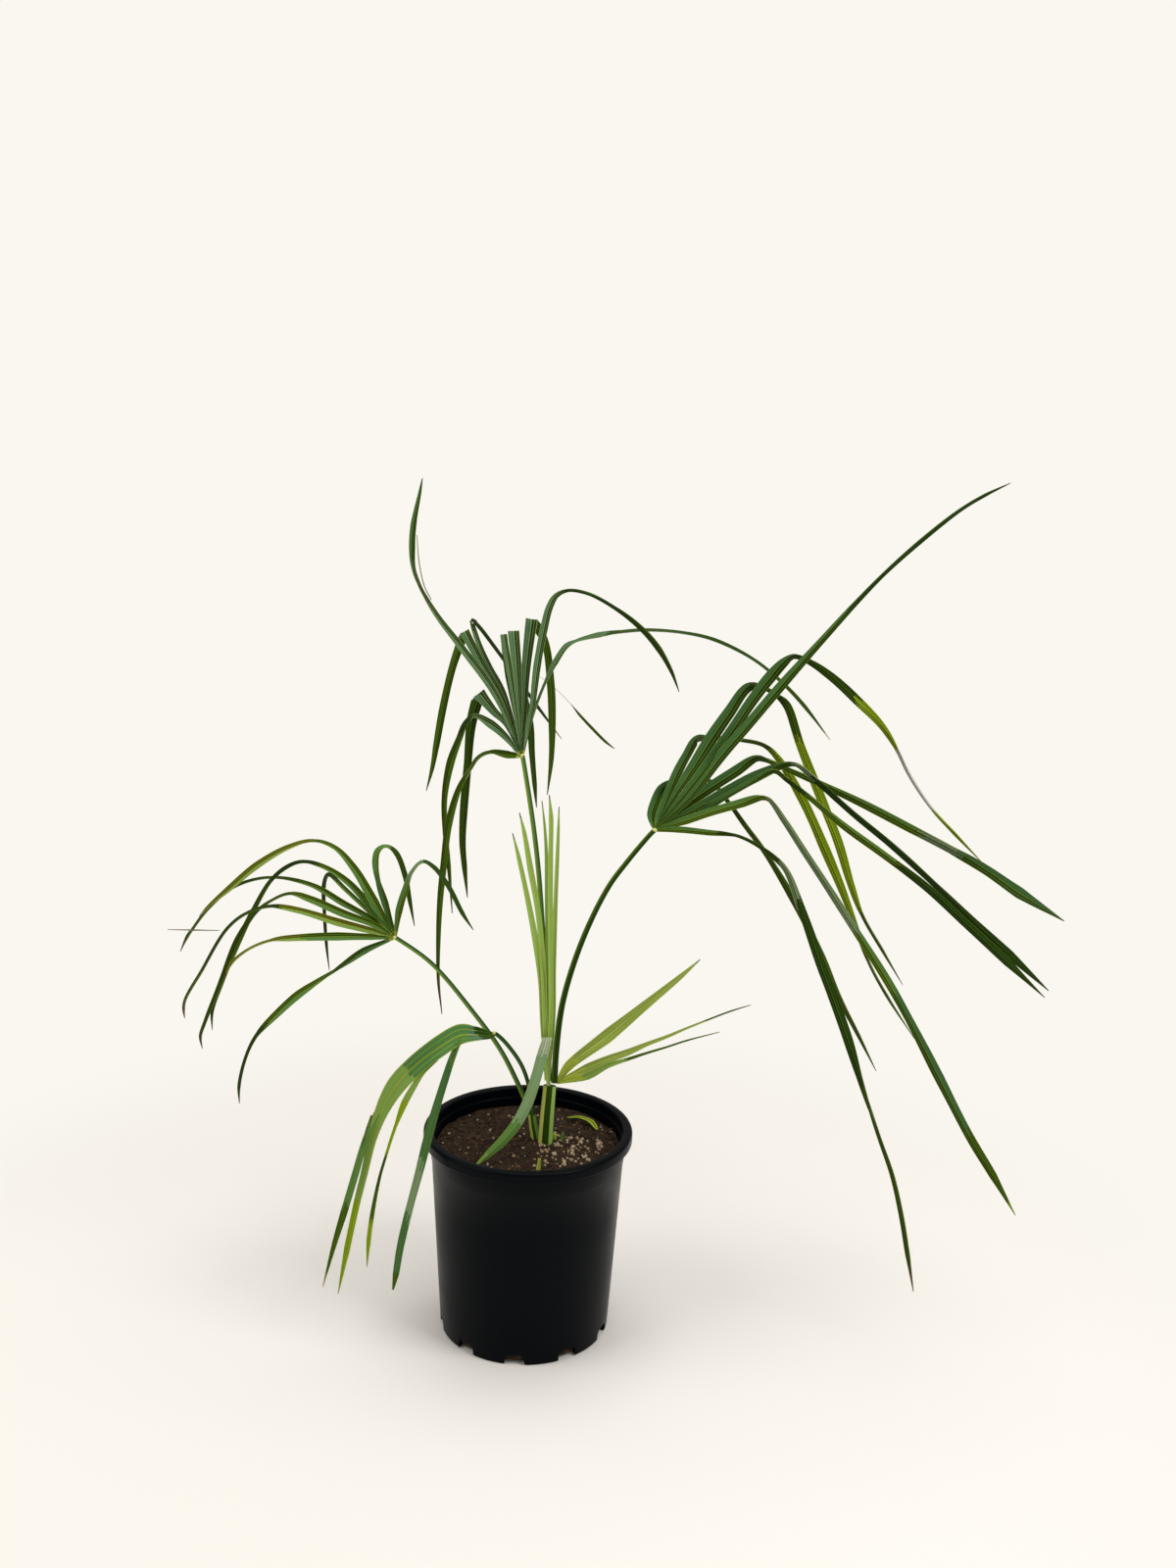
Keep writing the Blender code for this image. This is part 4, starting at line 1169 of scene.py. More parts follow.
STRAP_LEAF = FanLeaf(
    name="strap_leaf_blade", hub=(-36, -18, 326), slot="leaf_light_green",
    nodes=tail_nodes("strap_leaf", range(2, 6)),
    foot=Tone.FOREST, foot_length=16, hub_size=(2.0, 2.0, 2.4), seed=41, pleat=0.3,
    root_width=6, folded=False,
    blades=(
        Blade(((500, 1055, 8, 60), (486, 1054, 14, 45), (470, 1055, 20, 20), (448, 1068, 22, 10),
               (424, 1087, 21), (404, 1108, 19), (389, 1135, 14, 10), (380, 1162, 9, 30),
               (371, 1200, 6.8, 40), (364, 1228, 6.3, 40), (354, 1275, 6.3, 40), (345, 1320, 0.8, 40)),
              4, (-37, -40, -48), ((0, Tone.BLUE_GREEN), (2.4, Tone.MID_GREEN), (5.4, Tone.LIGHT_GREEN),
              (10, Tone.LIME_OLIVE)), tip=Tone.TAN, tip_length=8),
        Blade(((384, 1136, 6, 20), (373, 1163, 6.5, 20), (362, 1200, 7, 20), (351, 1237, 7.6, 10),
               (341, 1270, 4.8, 40), (329.5, 1313, 0.8, 40)),
              0, (-39, -42, -45), ((0, Tone.MID_GREEN), (3, Tone.OLIVE)), tip=Tone.TAN, tip_length=14,
              free=True),
        Blade(((379, 1138, 1.6), (373, 1155, 1.4), (369, 1172, 0.8)),
              0, (-38, -41, -45), ((0, Tone.OLIVE),), tip=Tone.OLIVE, free=True),
        Blade(((446, 1081, 3, 40), (432, 1094, 4.4, 40), (422, 1109, 6.4, 20), (413, 1125, 7, 20),
               (404, 1148, 3, 62), (392, 1185, 2.4, 66), (387, 1203, 3, 60), (380, 1238, 4, 50),
               (376, 1268, 4.2, 50), (374.5, 1293, 0.8, 50)),
              0, (-36, -42, -60), ((0, Tone.LIGHT_GREEN), (3, Tone.LIME_OLIVE), (5, Tone.DARK_OLIVE),
              (6.6, Tone.OLIVE), (7.4, Tone.LIME_OLIVE)), tip=Tone.TAN, free=True),
        Blade(((470, 1060, 4, 50), (462, 1078, 6.4, 30), (453, 1105, 8, 10), (440, 1148, 9),
               (428, 1195, 8.6), (416, 1240, 8), (408, 1275, 7.2), (404, 1300, 6.6), (401, 1316, 2)),
              0, (-32, -36, -68), ((0, Tone.MID_GREEN), (1.5, Tone.DEEP_GREEN), (4, Tone.SHEEN_GREY),
              (5.2, Tone.DEEP_GREEN)), tip=Tone.OLIVE, tip_length=18, free=True),
    ),
)

SPEAR_LEAF = FanLeaf(
    name="spear_blades", hub=(18, 3, 268), slot="leaf_lime", nodes=("spear_leaf",),
    foot=Tone.YELLOW_GREEN, foot_length=34, hub_size=(0, 0, 0), seed=53, pleat=0.6,
    root_width=5, folded=False,
    blades=tuple(Blade(sights, 5, (back, back, back), ((0, Tone.LIME),), tip=Tone.OLIVE, tip_length=8)
                 for back, sights in (
        (14, ((554, 1040, 6), (552, 1000, 6.4), (546, 957, 6.2), (538, 915, 5.6), (529.5, 876, 4.4),
            (523, 850, 0.8))),
        (16, ((556, 1040, 6), (554, 985, 6), (549, 930, 6), (541, 885, 6), (535, 850, 4.4),
            (530, 829, 0.8))),
        (18, ((559, 1040, 5), (559, 985, 5), (558.5, 930, 5), (557.5, 870, 3.6), (555.5, 840, 2.6),
            (553, 817, 0.8))),
        (13, ((562, 1040, 5), (562, 985, 5.2), (561.5, 930, 5.2), (562, 870, 5), (562.3, 835, 5),
            (560.5, 811, 0.8))),
        (16, ((564.5, 1040, 4.6), (565, 985, 4.8), (566.5, 930, 4.8), (568.5, 880, 4),
            (569.8, 845, 2.8), (570.5, 823, 0.8))),
    )),
)

LOW_LEAF = FanLeaf(
    name="low_leaf_blades", hub=(28.5, 14, 261.5), slot="leaf_lime", nodes=("low_leaf",),
    foot=Tone.YELLOW_GREEN, foot_length=26, hub_size=(0, 0, 0), seed=59, pleat=0.5,
    root_width=4, folded=False,
    blades=(
        Blade(((580, 1088, 10), (620, 1057, 13.5), (660, 1024.5, 9.5), (695, 996, 5),
               (714.5, 979, 0.8)),
              5, (30, 30, 30), ((0, Tone.YOUNG_GREEN),), tip=Tone.OLIVE),
        Blade(((600, 1089.5, 8.5), (620, 1081, 7.5), (640, 1074, 7), (660, 1065.5, 4.6),
               (680, 1058, 3.4), (700, 1049.5, 2.4), (720, 1041.5, 1.8), (745, 1032, 1.8),
               (766, 1025.5, 0.8)),
              9, (34, 34, 34), ((0, Tone.YOUNG_GREEN), (7, Tone.OLIVE)), tip=Tone.OLIVE, joins=(3, 56)),
        Blade(((600, 1098, 7), (620, 1087.5, 5.5), (640, 1081, 3.6), (660, 1074.5, 2.6),
               (680, 1068.5, 2), (700, 1062, 1.8), (734.5, 1053, 0.8)),
              7, (22, 22, 22), ((0, Tone.LIGHT_GREEN), (3, Tone.OLIVE)), tip=Tone.TAN, tip_length=5),
    ),
)

FRONT_LEAF = FanLeaf(
    name="front_strap", hub=(20, -4, 265), slot="leaf_grey_green",
    nodes=tail_nodes("front_leaf", (1,)),
    foot=Tone.LIME, foot_length=8, hub_size=(0, 0, 0), seed=61, pleat=0.3,
    root_width=4, folded=False,
    blades=(
        Blade(((558, 1076, 8), (558.3, 1058.5, 9.5), (553, 1078, 11.4), (546.5, 1101, 11.6),
               (538, 1126, 11.2), (526, 1148, 10.4), (512, 1165, 9.4), (498, 1178, 7.6),
               (485, 1189.5, 1.4)),
              2, (1, -4, -57), ((0, Tone.LIME), (2, Tone.BLOOM), (3, Tone.GREY_GREEN),
              (6, Tone.MID_GREEN)), tip=Tone.LIGHT_GREEN, tip_length=14, over=True),
    ),
)


@dataclass(frozen=True)
class Stalk:
    """A leaf stalk: a tapering rod with a grooved upper face.

    Attributes:
        name: the piece's name.
        node: the CAD node it stands for.
        way: its points in mm from the pot's foot.
        radii: half its width at either end in mm.
        back: the colour of its rounded back and flanks.
        groove: the colour of the groove.
        lit: the colour of a strip along one side of the groove, lighter as painted light.
        facing: where the groove looks.
        slot: the record's material slot; not used.
        sides: how many strips go round it.
        spacing: the widest step along it in mm.
        groove_depth: how deep the groove is, as a share of half the width.
        groove_width: how wide it is, as the sine of the quarter turn it fills.
    """

    name: str
    node: str
    way: Way
    radii: tuple[float, float]
    back: Tone
    groove: Tone
    lit: Tone
    facing: tuple[float, float, float] = (0.0, -1.0, 0.3)
    slot: str = "stalk"
    sides: int = 16
    spacing: float = 4.0
    groove_depth: float = 0.18
    groove_width: float = 0.32

    def build(self) -> bpy.types.Object:
        """Build the stalk.

        Returns:
            The piece.
        """
        knots = [Vector(point) * MM for point in self.way]
        points, _ = spline(knots, [float(i) for i in range(len(knots))], self.spacing * MM)
        lengths = run_lengths(points)
        runs = runs_along(points)
        sides = carried_sides(runs, Vector(self.facing).normalized())
        rings = []
        for point, run, side, length in zip(points, runs, sides, lengths):
            face = side.cross(run)
            share = length / lengths[-1]
            radius = (self.radii[0] + (self.radii[1] - self.radii[0]) * share) * MM
            ring = []
            for number in range(self.sides):
                angle = math.tau * number / self.sides
                sunk = self.groove_depth * math.exp(-(math.sin(angle / 2) / self.groove_width) ** 2)
                off = radius * (1 - sunk)
                ring.append(point + face * math.cos(angle) * off + side * math.sin(angle) * off)
            rings.append(ring)
        roles = [self.role(number) for number in range(self.sides)]
        girth = self.radii[0] * math.tau
        across = [girth * number / self.sides for number in range(self.sides + 1)]
        skin = Skin()
        skin.loft(rings, across, [length / MM for length in lengths], lambda row, strip: roles[strip])
        return skin.piece(self.name, (self.node,))

    def role(self, number: int) -> Finish:
        """Choose a strip's finish by where it lies round the stalk.

        Args:
            number: the strip's number, from the middle of the groove.

        Returns:
            The finish.
        """
        share = (number + 0.5) / self.sides
        if share < 0.07 or share > 0.93:
            return self.groove.tissue()
        # Painted light: a strip along one side of the groove only is drawn in the lighter colour
        if share > 0.80:
            return self.lit.vein()
        return self.back.tissue()


STALKS = (
    Stalk("centre_petiole", "centre_stalk",
          ((19.5, 12, 263.5), (18.5, 19, 308), (17, 22, 340), (12, 28, 388), (3, 39, 481),
           (-5, 48, 535), (-15.5, 59, 590), (-17, 60, 597)), (2.9, 2.4),
          Tone.OLIVE, Tone.MID_GREEN, Tone.MID_GREEN),
    Stalk("right_petiole", "right_stalk",
          ((25.5, 7, 263.5), (26.5, 16, 297), (32, 24, 347), (50, 33, 410), (75, 42, 465),
           (94, 47, 492), (117, 54, 520), (121, 55, 524)), (3.4, 2.5),
          Tone.FOREST, Tone.FOREST, Tone.DARK_OLIVE),
    Stalk("left_petiole", "left_stalk",
          ((1, 7.8, 230), (-8, 12, 250), (-31, 20, 292), (-62, 29, 331), (-106, 42, 377),
           (-142, 54, 398), (-146, 55, 400)), (2.6, 2.2),
          Tone.DARK_OLIVE, Tone.MID_GREEN, Tone.MID_GREEN),
    Stalk("strap_petiole", "strap_stalk",
          ((4.6, 2.6, 230), (-1, -4, 267), (-9, -8, 290), (-24, -14, 314), (-33, -17, 324),
           (-36, -18, 326)), (2.1, 2.1), Tone.FOREST, Tone.DEEP_GREEN, Tone.DARK_OLIVE),
)

CROWN_STEM = Stalk("crown_sheath", "crown_stem",
                   ((18, -6, 200), (18, -6, 206), (19, -2, 230), (21, 4, 262)), (7.6, 6.6),
                   Tone.LIME, Tone.DARK_OLIVE, Tone.YELLOW_GREEN, slot="sheath", sides=24)
LEFT_SHEATH = Stalk("side_sheath", "left_sheath",
                    ((7.5, 2.5, 200), (7.3, 2.7, 205), (5, 4, 216), (2.8, 5, 230)), (4.8, 3.9),
                    Tone.LIME, Tone.OLIVE, Tone.YELLOW_GREEN, slot="sheath")


@dataclass(frozen=True)
class Sprout:
    """A short shoot, cut or growing: a stub that narrows to its top.

    Attributes:
        node: the CAD node.
        foot: its foot in mm.
        top: its top in mm.
        radius: half its width in mm.
        tone: its colour.
    """

    node: str
    foot: tuple[float, float, float]
    top: tuple[float, float, float]
    radius: float
    tone: Tone

    def build(self) -> bpy.types.Object:
        """Build the sprout."""
        return Stalk(self.node + "_shoot", self.node, (self.foot, self.top),
                     (self.radius, self.radius * 0.6), self.tone, self.tone, self.tone,
                     slot="shoot", spacing=1.0).build()


SPROUTS = (
    Sprout("pale_shoot", (13, -58, 199), (14, -57, 210), 2.4, Tone.YELLOW_GREEN),
    Sprout("cut_stub", (27, 3, 200), (27.5, 2.5, 209), 3.0, Tone.YELLOW_GREEN),
    Sprout("side_shoot", (34.5, 0, 200), (36, 1.5, 211), 2.2, Tone.MID_GREEN),
)


@dataclass(frozen=True)
class FallenScrap:
    """A curled scrap of leaf that lies on the potting mix."""

    way: Way = ((40, 56, 203), (52, 53, 205), (64, 44, 205), (72, 28, 203))
    width: float = 6.5
    thickness: float = 1.4

    def build(self) -> bpy.types.Object:
        """Build the scrap as a curled strip, fat along its middle.

        Returns:
            The piece.
        """
        knots = [Vector(point) * MM for point in self.way]
        points, _ = spline(knots, [0.0, 1.0, 2.0, 3.0], 2 * MM)
        runs = runs_along(points)
        lengths = run_lengths(points)
        rings = []
        for point, run, length in zip(points, runs, lengths):
            side = run.cross(Vector((0, 0, 1))).normalized()
            up = side.cross(run)
            share = length / lengths[-1]
            half = self.width / 2 * MM * (1 - 0.6 * abs(2 * share - 1) ** 2.5)
            ring = []
            for number in range(12):
                angle = math.tau * number / 12
                curl = math.cos(angle) ** 2 * half * 0.3
                lift = math.sin(angle) * self.thickness / 2 * MM + curl
                ring.append(point + side * math.cos(angle) * half + up * lift)
            rings.append(ring)
        skin = Skin()
        across = [self.width * number / 6 for number in range(13)]
        skin.loft(rings, across, [length / MM for length in lengths],
                  lambda row, strip: Tone.YELLOW_GREEN.tissue() if strip % 3 else Tone.OLIVE.tissue())
        return skin.piece("fallen_leaf_scrap", ("fallen_scrap",))


@dataclass(frozen=True)
class NurseryPot:
    """A moulded nursery can: tapering wall, rolled rim and arched notches round its foot.

    Sizes are in mm and angles in degrees. The band is the step that the wall takes below the
    rim, the ledge the one inside it, and sharp the angle from which an edge is drawn sharp.
    """

    height: float = 218.0
    foot_radius: float = 88.5
    neck_radius: float = 100.4
    neck_height: float = 196.0
    rim_radius: float = 108.0
    lip_height: float = 11.0
    mouth_radius: float = 98.0
    wall: float = 2.4
    floor: float = 3.0
    band_height: float = 188.0
    band_step: float = 0.6
    ledge_height: float = 207.5
    ledge_step: float = 1.4
    rim_round: float = 3.0
    mouth_round: float = 2.0
    lip_round: float = 1.2
    foot_round: float = 2.5
    segments: int = 160
    notch_count: int = 10
    notch_first: float = -93.6
    notch_width: float = 20.0
    notch_height: float = 12.5
    notch_corner: float = 6.0
    notch_flare: float = 2.6
    notch_reach: float = 10.0
    sharp: float = 38.0

    def wall_radius(self, height: float) -> float:
        """Outer radius of the plain wall at a height."""
        return self.foot_radius + (self.neck_radius - self.foot_radius) * height / self.neck_height

    def inner_radius(self, height: float) -> float:
        """Work out the wall's inner radius.

        Args:
            height: a height below the ledge.

        Returns:
            The radius there.
        """
        low = self.foot_radius - self.wall
        high = self.mouth_radius - self.ledge_step
        return low + (high - low) * (height - self.floor) / (self.ledge_height - self.floor)

    @staticmethod
    def arc(centre: tuple[float, float], radius: float, start: float, end: float,
            steps: int = 5) -> list[tuple[float, float]]:
        """Return points on an arc of the section.

        Args:
            centre: its middle, as radius and height in the pot.
            radius: its own radius.
            start: the angle it starts at, in degrees from outwards to upwards.
            end: the angle it ends at.
            steps: how many steps it takes.

        Returns:
            Its points, both ends included.
        """
        found = []
        for step in range(steps + 1):
            angle = math.radians(start + (end - start) * step / steps)
            found.append((centre[0] + radius * math.cos(angle), centre[1] + radius * math.sin(angle)))
        return found

    def profile(self) -> list[tuple[float, float]]:
        """Draw the pot's section.

        Returns:
            Its (radius, height) points, from the floor up the inside and down the outside.
        """
        lip_low = self.height - self.lip_height
        band = self.wall_radius(self.band_height)
        inside_foot = self.inner_radius(self.floor)
        ledge = self.inner_radius(self.ledge_height)
        top = self.height
        points = self.arc((inside_foot - 2.0, self.floor + 2.0), 2.0, -90, 0)
        points += [(self.inner_radius(self.band_height), self.band_height)]
        points += [(ledge, self.ledge_height - 0.5), (ledge + 0.5, self.ledge_height)]
        points += self.arc((self.mouth_radius - 0.5, self.ledge_height + 0.5), 0.5, -90, 0, 3)
        points += self.arc((self.mouth_radius + self.mouth_round, top - self.mouth_round),
                           self.mouth_round, 180, 90)
        points += self.arc((self.rim_radius - self.rim_round, top - self.rim_round),
                           self.rim_round, 90, 0, 7)
        points += self.arc((self.rim_radius - self.lip_round, lip_low + self.lip_round),
                           self.lip_round, 0, -90)
        points += self.arc((self.wall_radius(lip_low) + 1.0, lip_low - 1.0), 1.0, 90, 180, 3)
        points += [(band + 0.05, self.band_height + 0.4), (band - 0.2, self.band_height),
                   (band - self.band_step, self.band_height - 0.5)]
        for share in (0.75, 0.5, 0.25):
            height = self.foot_round + (self.band_height - self.foot_round) * share
            points.append((self.wall_radius(height) - self.band_step * share, height))
        return points + self.arc((self.foot_radius - self.foot_round, self.foot_round),
                                 self.foot_round, 0, -90)

    def notch_outline(self) -> list[tuple[float, float]]:
        """Draw a notch's arch in the wall's plane.

        Returns:
            Its (across, up) points, from below its lower left corner round to the right.
        """
        half, corner, flare = self.notch_width / 2, self.notch_corner, self.notch_flare
        left = [(-half - flare, -2.0)]
        left += self.arc((-half - flare, flare), flare, -90, 0, 4)
        left += self.arc((-half + corner, self.notch_height - corner), corner, 180, 90, 6)
        return left + [(-across, up) for across, up in reversed(left)]

    def cut_notches(self, pot: bpy.types.Object) -> None:
        """Cut the notches through the foot of the wall.

        Args:
            pot: the pot's piece, whose mesh is replaced.
        """
        group = bpy.data.collections.new("notches")
        outline = self.notch_outline()
        for number in range(self.notch_count):
            form = bmesh.new()
            near, far = ([form.verts.new(Vector((radius, x, z)) * MM) for x, z in outline]
                         for radius in (self.foot_radius - self.notch_reach,
                                        self.foot_radius + self.notch_reach))
            form.faces.new(near)
            form.faces.new(far)
            for i in range(len(outline)):
                j = (i + 1) % len(outline)
                form.faces.new((near[i], near[j], far[j], far[i]))
            bmesh.ops.recalc_face_normals(form, faces=form.faces)
            mesh = bpy.data.meshes.new(f"notch_{number}")
            form.to_mesh(mesh)
            form.free()
            cutter = bpy.data.objects.new(mesh.name, mesh)
            cutter.rotation_euler.z = math.radians(self.notch_first + number * 360 / self.notch_count)
            group.objects.link(cutter)
        bpy.context.scene.collection.children.link(group)
        cut = pot.modifiers.new("notches", "BOOLEAN")
        cut.operation = "DIFFERENCE"
        cut.operand_type = "COLLECTION"
        cut.collection = group
        cut.solver = "EXACT"
        ready = pot.evaluated_get(bpy.context.evaluated_depsgraph_get())
        result = bpy.data.meshes.new_from_object(ready)
        pot.modifiers.clear()
        pot.data = result
        for cutter in list(group.objects):
            bpy.data.objects.remove(cutter, do_unlink=True)
        bpy.data.collections.remove(group)

    def build(self) -> bpy.types.Object:
        """Build the pot.

        Returns:
            The piece.
        """
        rings = [[Vector((x, y, height)) * MM for x, y in circle(radius, self.segments)]
                 for radius, height in self.profile()]
        skin = Skin()
        skin.loft(rings, [0.0] * (self.segments + 1), [0.0] * len(rings), lambda row, strip: POT_PLASTIC)
        pot = skin.piece("nursery_pot", ("pot",), sharp=self.sharp)
        self.cut_notches(pot)
        pot.data.shade_smooth()
        pot.data.set_sharp_from_angle(angle=math.radians(self.sharp))
        return pot


@dataclass(frozen=True)
class PottingMix:
    """The potting mix: a crumbly plug of peat with perlite and bark on it. Sizes in mm.

    Attributes:
        top: the mean height of its top.
        brim: the height where it meets the wall.
        foot: the height of its underside.
        clearance: the gap between it and the pot's wall.
        rings: how many rings of faces its top has.
        segments: how many faces a ring has.
        mound: how high it is heaped round the stem.
        mound_width: how far out the heap reaches.
        stem_x: where the stem stands, along X.
        stem_clear: how near the stem nothing is strewn.
        bare_edge: how near the wall nothing is strewn.
        edge_dip: how far it has sunk along the wall.
        edge_start: how far out it begins to sink.
        edge_width: over what distance it sinks.
        seed: of what is strewn on it.
    """

    # Width, height and shift of each layer of unevenness
    LAYERS: ClassVar = ((34, 2.4, Vector()), (9, 1.2, Vector((5, 0, 0))), (3.2, 0.7, Vector((0, 9, 0))))

    top: float = 200.0
    brim: float = 201.0
    foot: float = 5.0
    clearance: float = 0.9
    rings: int = 70
    segments: int = 200
    mound: float = 3.5
    mound_width: float = 30.0
    stem_x: float = 16.0
    stem_clear: float = 11.0
    bare_edge: float = 4.0
    edge_dip: float = 1.5
    edge_start: float = 78.0
    edge_width: float = 18.0
    seed: int = 7

    def height(self, x: float, y: float) -> float:
        """Work out the height of the surface.

        Args:
            x: where, along X.
            y: where, along Y.

        Returns:
            The height there.
        """
        spot = Vector((x, y, 0.0))
        mound = self.mound * math.exp(-((x - self.stem_x) ** 2 + (y + 2) ** 2) / self.mound_width ** 2)
        layers = [noise.noise(spot / width + shift) * height for width, height, shift in self.LAYERS]
        edge = -self.edge_dip * smooth_step((math.hypot(x, y) - self.edge_start) / self.edge_width)
        return self.top + mound + sum(layers) + edge

    def surface(self, pot: NurseryPot) -> bpy.types.Object:
        """Build the plug with its uneven top.

        Args:
            pot: the pot that it fills.

        Returns:
            The piece.
        """
        skin = Skin()
        reach = pot.inner_radius(self.brim) - self.clearance
        skin.points.append(Vector((0, 0, self.height(0, 0))) * MM)
        for ring in range(1, self.rings + 1):
            skin.points += [Vector((x, y, self.height(x, y))) * MM
                            for x, y in circle(reach * ring / self.rings, self.segments)]
        low = pot.inner_radius(self.foot) - self.clearance
        skin.points += [Vector((x, y, self.foot)) * MM for x, y in circle(low, self.segments)]
        for number in range(self.segments):
            skin.add_face((0, 1 + number, 1 + (number + 1) % self.segments), PEAT)
        for ring in range(self.rings):
            start = 1 + ring * self.segments
            for number in range(self.segments):
                other = (number + 1) % self.segments
                skin.add_face((start + number, start + self.segments + number,
                               start + self.segments + other, start + other), PEAT)
        last = 1 + self.rings * self.segments
        skin.add_face(range(last, last + self.segments), PEAT)
        return skin.piece("peat_plug", ("soil",), sharp=75)

    def scatter(self, name: str, count: int, finish: Finish, sizes: tuple[float, float],
                shape: tuple[float, float, float], sunk: float, chance: random.Random,
                reach: float, cuts: int = 1, middle: tuple[float, float] = (0, 0)) -> bpy.types.Object:
        """Strew irregular lumps over the surface.

        Args:
            name: the piece's name.
            count: how many.
            finish: what they are made of.
            sizes: the smallest and largest half size in mm.
            shape: how a lump's three sizes compare.
            sunk: how far a lump lies in the peat, as a share of its height.
            chance: the source of where they lie.
            reach: how far from the middle they lie, in mm.
            cuts: how finely each is divided.
            middle: the middle of where they lie, in mm.

        Returns:
            The lumps as one piece.
        """
        skin = Skin()
        left = count
        while left:
            radius = reach * math.sqrt(chance.random())
            angle = chance.uniform(0, math.tau)
            x, y = middle[0] + radius * math.cos(angle), middle[1] + radius * math.sin(angle)
            if math.hypot(x - self.stem_x, y) < self.stem_clear:
                continue
            size = sizes[0] + (sizes[1] - sizes[0]) * chance.random() ** 2.2
            whole = Vector(shape) * size * MM
            turn = Quaternion(Vector((chance.gauss(0, 1), chance.gauss(0, 1), 0.01)).normalized(),
                              chance.uniform(-0.7, 0.7)).to_matrix()
            turn = turn @ Matrix.Rotation(chance.uniform(0, math.tau), 3, "Z")
            height = self.height(x, y) + size * shape[2] * (1 - 2 * sunk)
            skin.lump(Vector((x, y, height)) * MM, whole, turn, finish, chance, cuts)
            left -= 1
        return skin.piece(name, sharp=50)

    def build(self, pot: NurseryPot) -> None:
        """Build the plug and everything that lies on it.

        Args:
            pot: the pot that it fills.
        """
        chance = random.Random(self.seed)
        reach = pot.inner_radius(self.brim) - self.bare_edge
        self.surface(pot)
        self.scatter("peat_crumbs", 2600, PEAT_CRUMB, (0.5, 1.9), (1, 0.85, 0.7), 0.35, chance, reach)
        self.scatter("perlite_grains", 130, PERLITE, (0.6, 1.9), (1, 0.9, 0.8), 0.4, chance, reach, 2)
        self.scatter("perlite_coarse", 110, PERLITE, (1.0, 2.9), (1, 0.9, 0.8), 0.35, chance, 40, 2,
                     middle=(44, -22))
        self.scatter("bark_chips", 150, BARK, (1.4, 4.6), (1, 0.55, 0.3), 0.3, chance, reach)


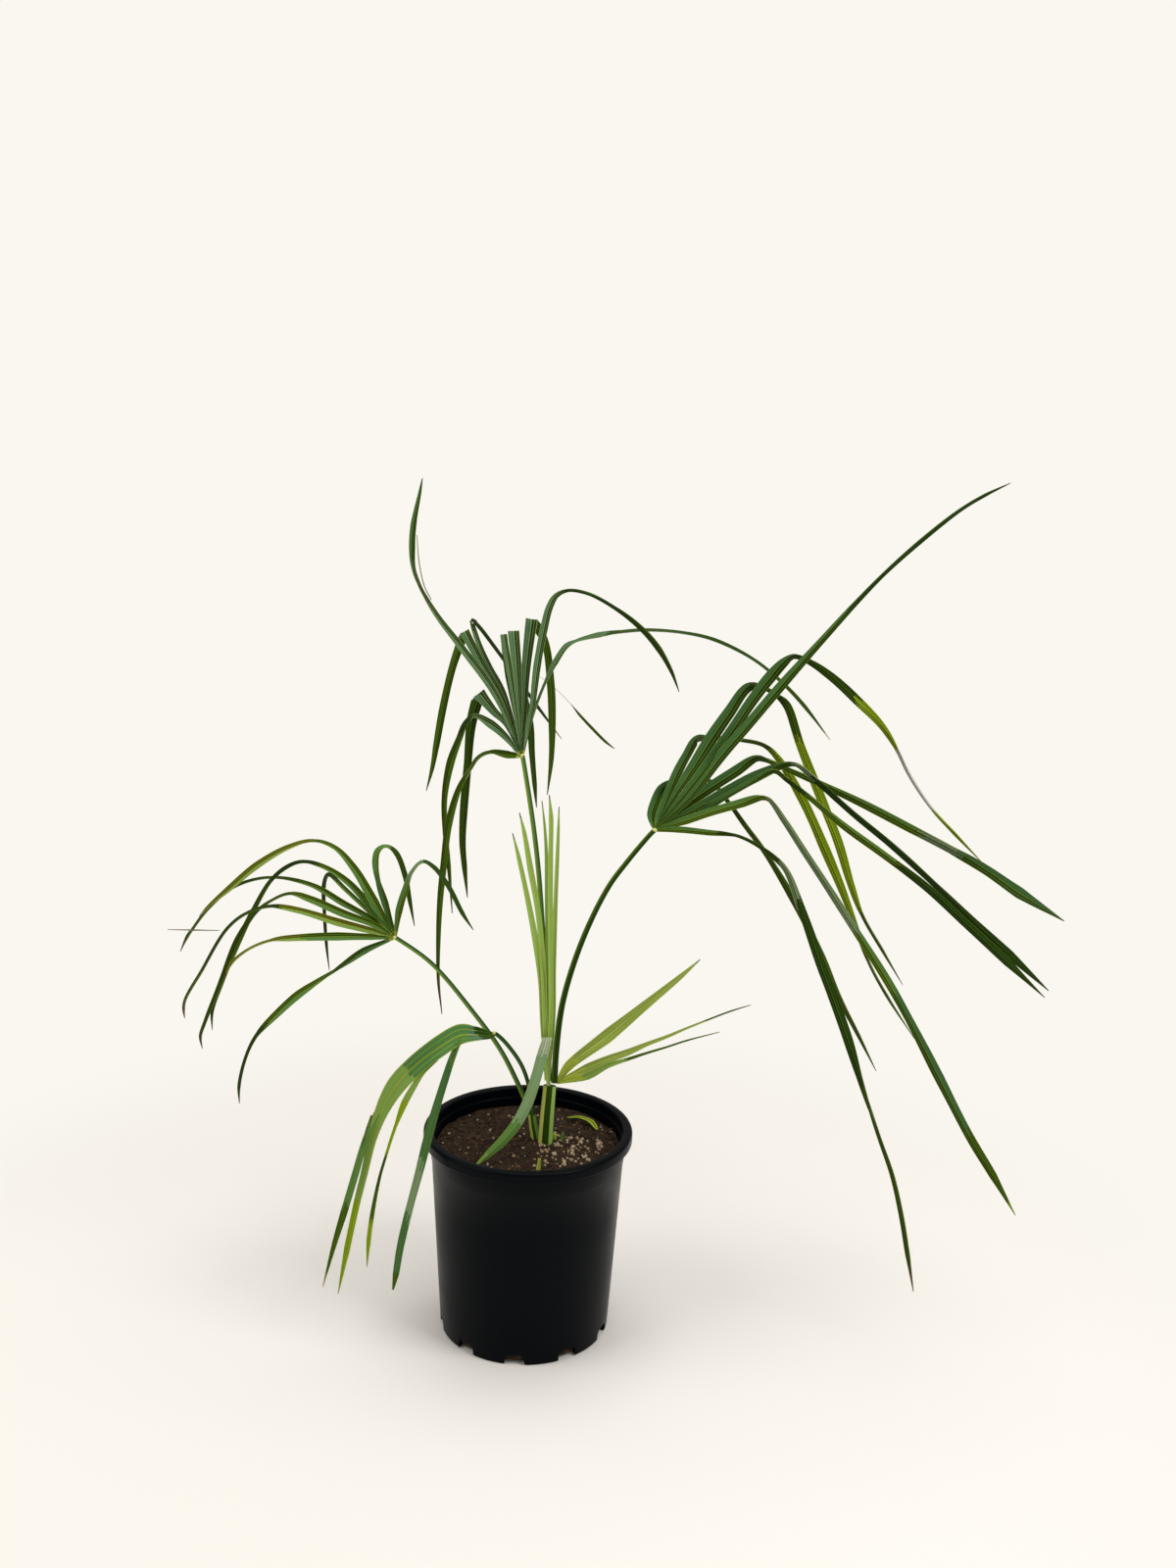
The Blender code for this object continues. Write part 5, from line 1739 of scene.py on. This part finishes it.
@dataclass(frozen=True)
class Studio:
    """The pale floor, the soft lights and the camera.

    Attributes:
        lens: the camera's focal length in mm, for the sensor below on the image's long side.
        sensor: the sensor's long side in mm.
        backdrop: the colour that the camera sees behind everything.
        floor_colour: the paper's colour.
        floor_radius: how far the paper reaches, in metres.
        fade: between which distances it turns into the backdrop, in metres.
        fill_colour: the colour of the light from all round.
        fill: its strength.
    """

    # Name, place in metres, power in watts, side in metres and tint of each soft box
    BOXES: ClassVar = (
        ("key", (1.5, -0.9, 1.9), 22.0, 1.0, "#fffefc"),
        ("fill", (-1.6, -0.6, 1.8), 15.0, 1.4, "#fffdfa"),
        ("top", (0.1, 0.4, 2.4), 16.0, 1.4, "#ffffff"),
    )

    lens: float = 33.37
    sensor: float = 36.0
    backdrop: str = "#faf7f0"
    floor_colour: str = "#fbf8f3"
    floor_radius: float = 9.0
    fade: tuple[float, float] = (0.38, 0.95)
    fill_colour: str = "#fcf7f0"
    fill: float = 0.42

    def camera(self) -> None:
        """Place the camera as the photograph was taken."""
        right, up, ahead = VIEW.axes()
        data = bpy.data.cameras.new("camera")
        data.lens = self.lens
        data.sensor_width = self.sensor
        data.clip_start = 0.05
        data.clip_end = 50.0
        seen_from = bpy.data.objects.new("camera", data)
        turn = Matrix((right, up, -ahead)).transposed().to_4x4()
        seen_from.matrix_world = Matrix.Translation(VIEW.eye) @ turn
        bpy.context.scene.collection.objects.link(seen_from)
        bpy.context.scene.camera = seen_from

    def floor(self) -> None:
        """Lay the floor: lit paper round the pot that fades into the backdrop's own light."""
        form = bmesh.new()
        bmesh.ops.create_circle(form, cap_ends=True, segments=128, radius=self.floor_radius)
        mesh = bpy.data.meshes.new("floor")
        form.to_mesh(mesh)
        form.free()
        paper = Finish("paper_sweep_matt", self.floor_colour, 0.9, 0.1).material()
        tree = paper.node_tree
        shader = tree.nodes["Principled BSDF"]
        place = add_node(tree, "ShaderNodeTexCoord")
        far = add_node(tree, "ShaderNodeVectorMath", {0: place.outputs["Object"]}, operation="LENGTH")
        fade = add_node(tree, "ShaderNodeMapRange", {
            "Value": far.outputs["Value"], "From Min": self.fade[0], "From Max": self.fade[1]},
            interpolation_type="SMOOTHSTEP")
        glow = add_node(tree, "ShaderNodeEmission", {"Color": srgb(self.backdrop), "Strength": 1.0})
        both = add_node(tree, "ShaderNodeMixShader", {
            0: fade.outputs["Result"], 1: shader.outputs["BSDF"], 2: glow.outputs["Emission"]})
        tree.links.new(both.outputs["Shader"], tree.nodes["Material Output"].inputs["Surface"])
        mesh.materials.append(paper)
        laid = bpy.data.objects.new("floor", mesh)
        bpy.context.scene.collection.objects.link(laid)

    def world(self) -> None:
        """Fill the room with soft light, and show the camera the plain backdrop."""
        room = bpy.data.worlds.new("studio")
        bpy.context.scene.world = room
        room.use_nodes = True
        tree = room.node_tree
        tree.nodes.clear()
        seen = add_node(tree, "ShaderNodeBackground", {"Color": srgb(self.backdrop), "Strength": 1.0})
        fill = add_node(tree, "ShaderNodeBackground",
                        {"Color": srgb(self.fill_colour), "Strength": self.fill})
        path = add_node(tree, "ShaderNodeLightPath")
        both = add_node(tree, "ShaderNodeMixShader", {
            0: path.outputs["Is Camera Ray"], 1: fill.outputs["Background"],
            2: seen.outputs["Background"]})
        add_node(tree, "ShaderNodeOutputWorld", {"Surface": both.outputs["Shader"]})

    def lights(self) -> None:
        """Hang the soft boxes, which look at the middle of the plant."""
        for name, place, power, size, tint in self.BOXES:
            data = bpy.data.lights.new(name, "AREA")
            data.energy = power
            data.size = size
            data.color = srgb(tint)[:3]
            lamp = bpy.data.objects.new(name, data)
            aim = Vector((0.05, 0.0, 0.35)) - Vector(place)
            lamp.location = place
            lamp.rotation_euler = aim.to_track_quat("-Z", "Y").to_euler()
            lamp.visible_camera = False
            bpy.context.scene.collection.objects.link(lamp)

    def build(self) -> None:
        """Set up the whole studio."""
        self.camera()
        self.floor()
        self.world()
        self.lights()
        view = bpy.context.scene.view_settings
        view.view_transform = "Standard"
        view.look = "None"


def main() -> None:
    """Build the studio and every piece of the plant and its pot."""
    logging.basicConfig(level=logging.INFO, format="%(name)s %(message)s")
    Studio().build()
    pot = NurseryPot()
    pot.build()
    PottingMix().build(pot)
    for stalk in (*STALKS, CROWN_STEM, LEFT_SHEATH):
        stalk.build()
    for leaf in (CENTRE_LEAF, RIGHT_LEAF, LEFT_LEAF, STRAP_LEAF, SPEAR_LEAF, LOW_LEAF, FRONT_LEAF):
        leaf.build()
    for sprout in SPROUTS:
        sprout.build()
    FallenScrap().build()


if __name__ == "__main__":
    main()
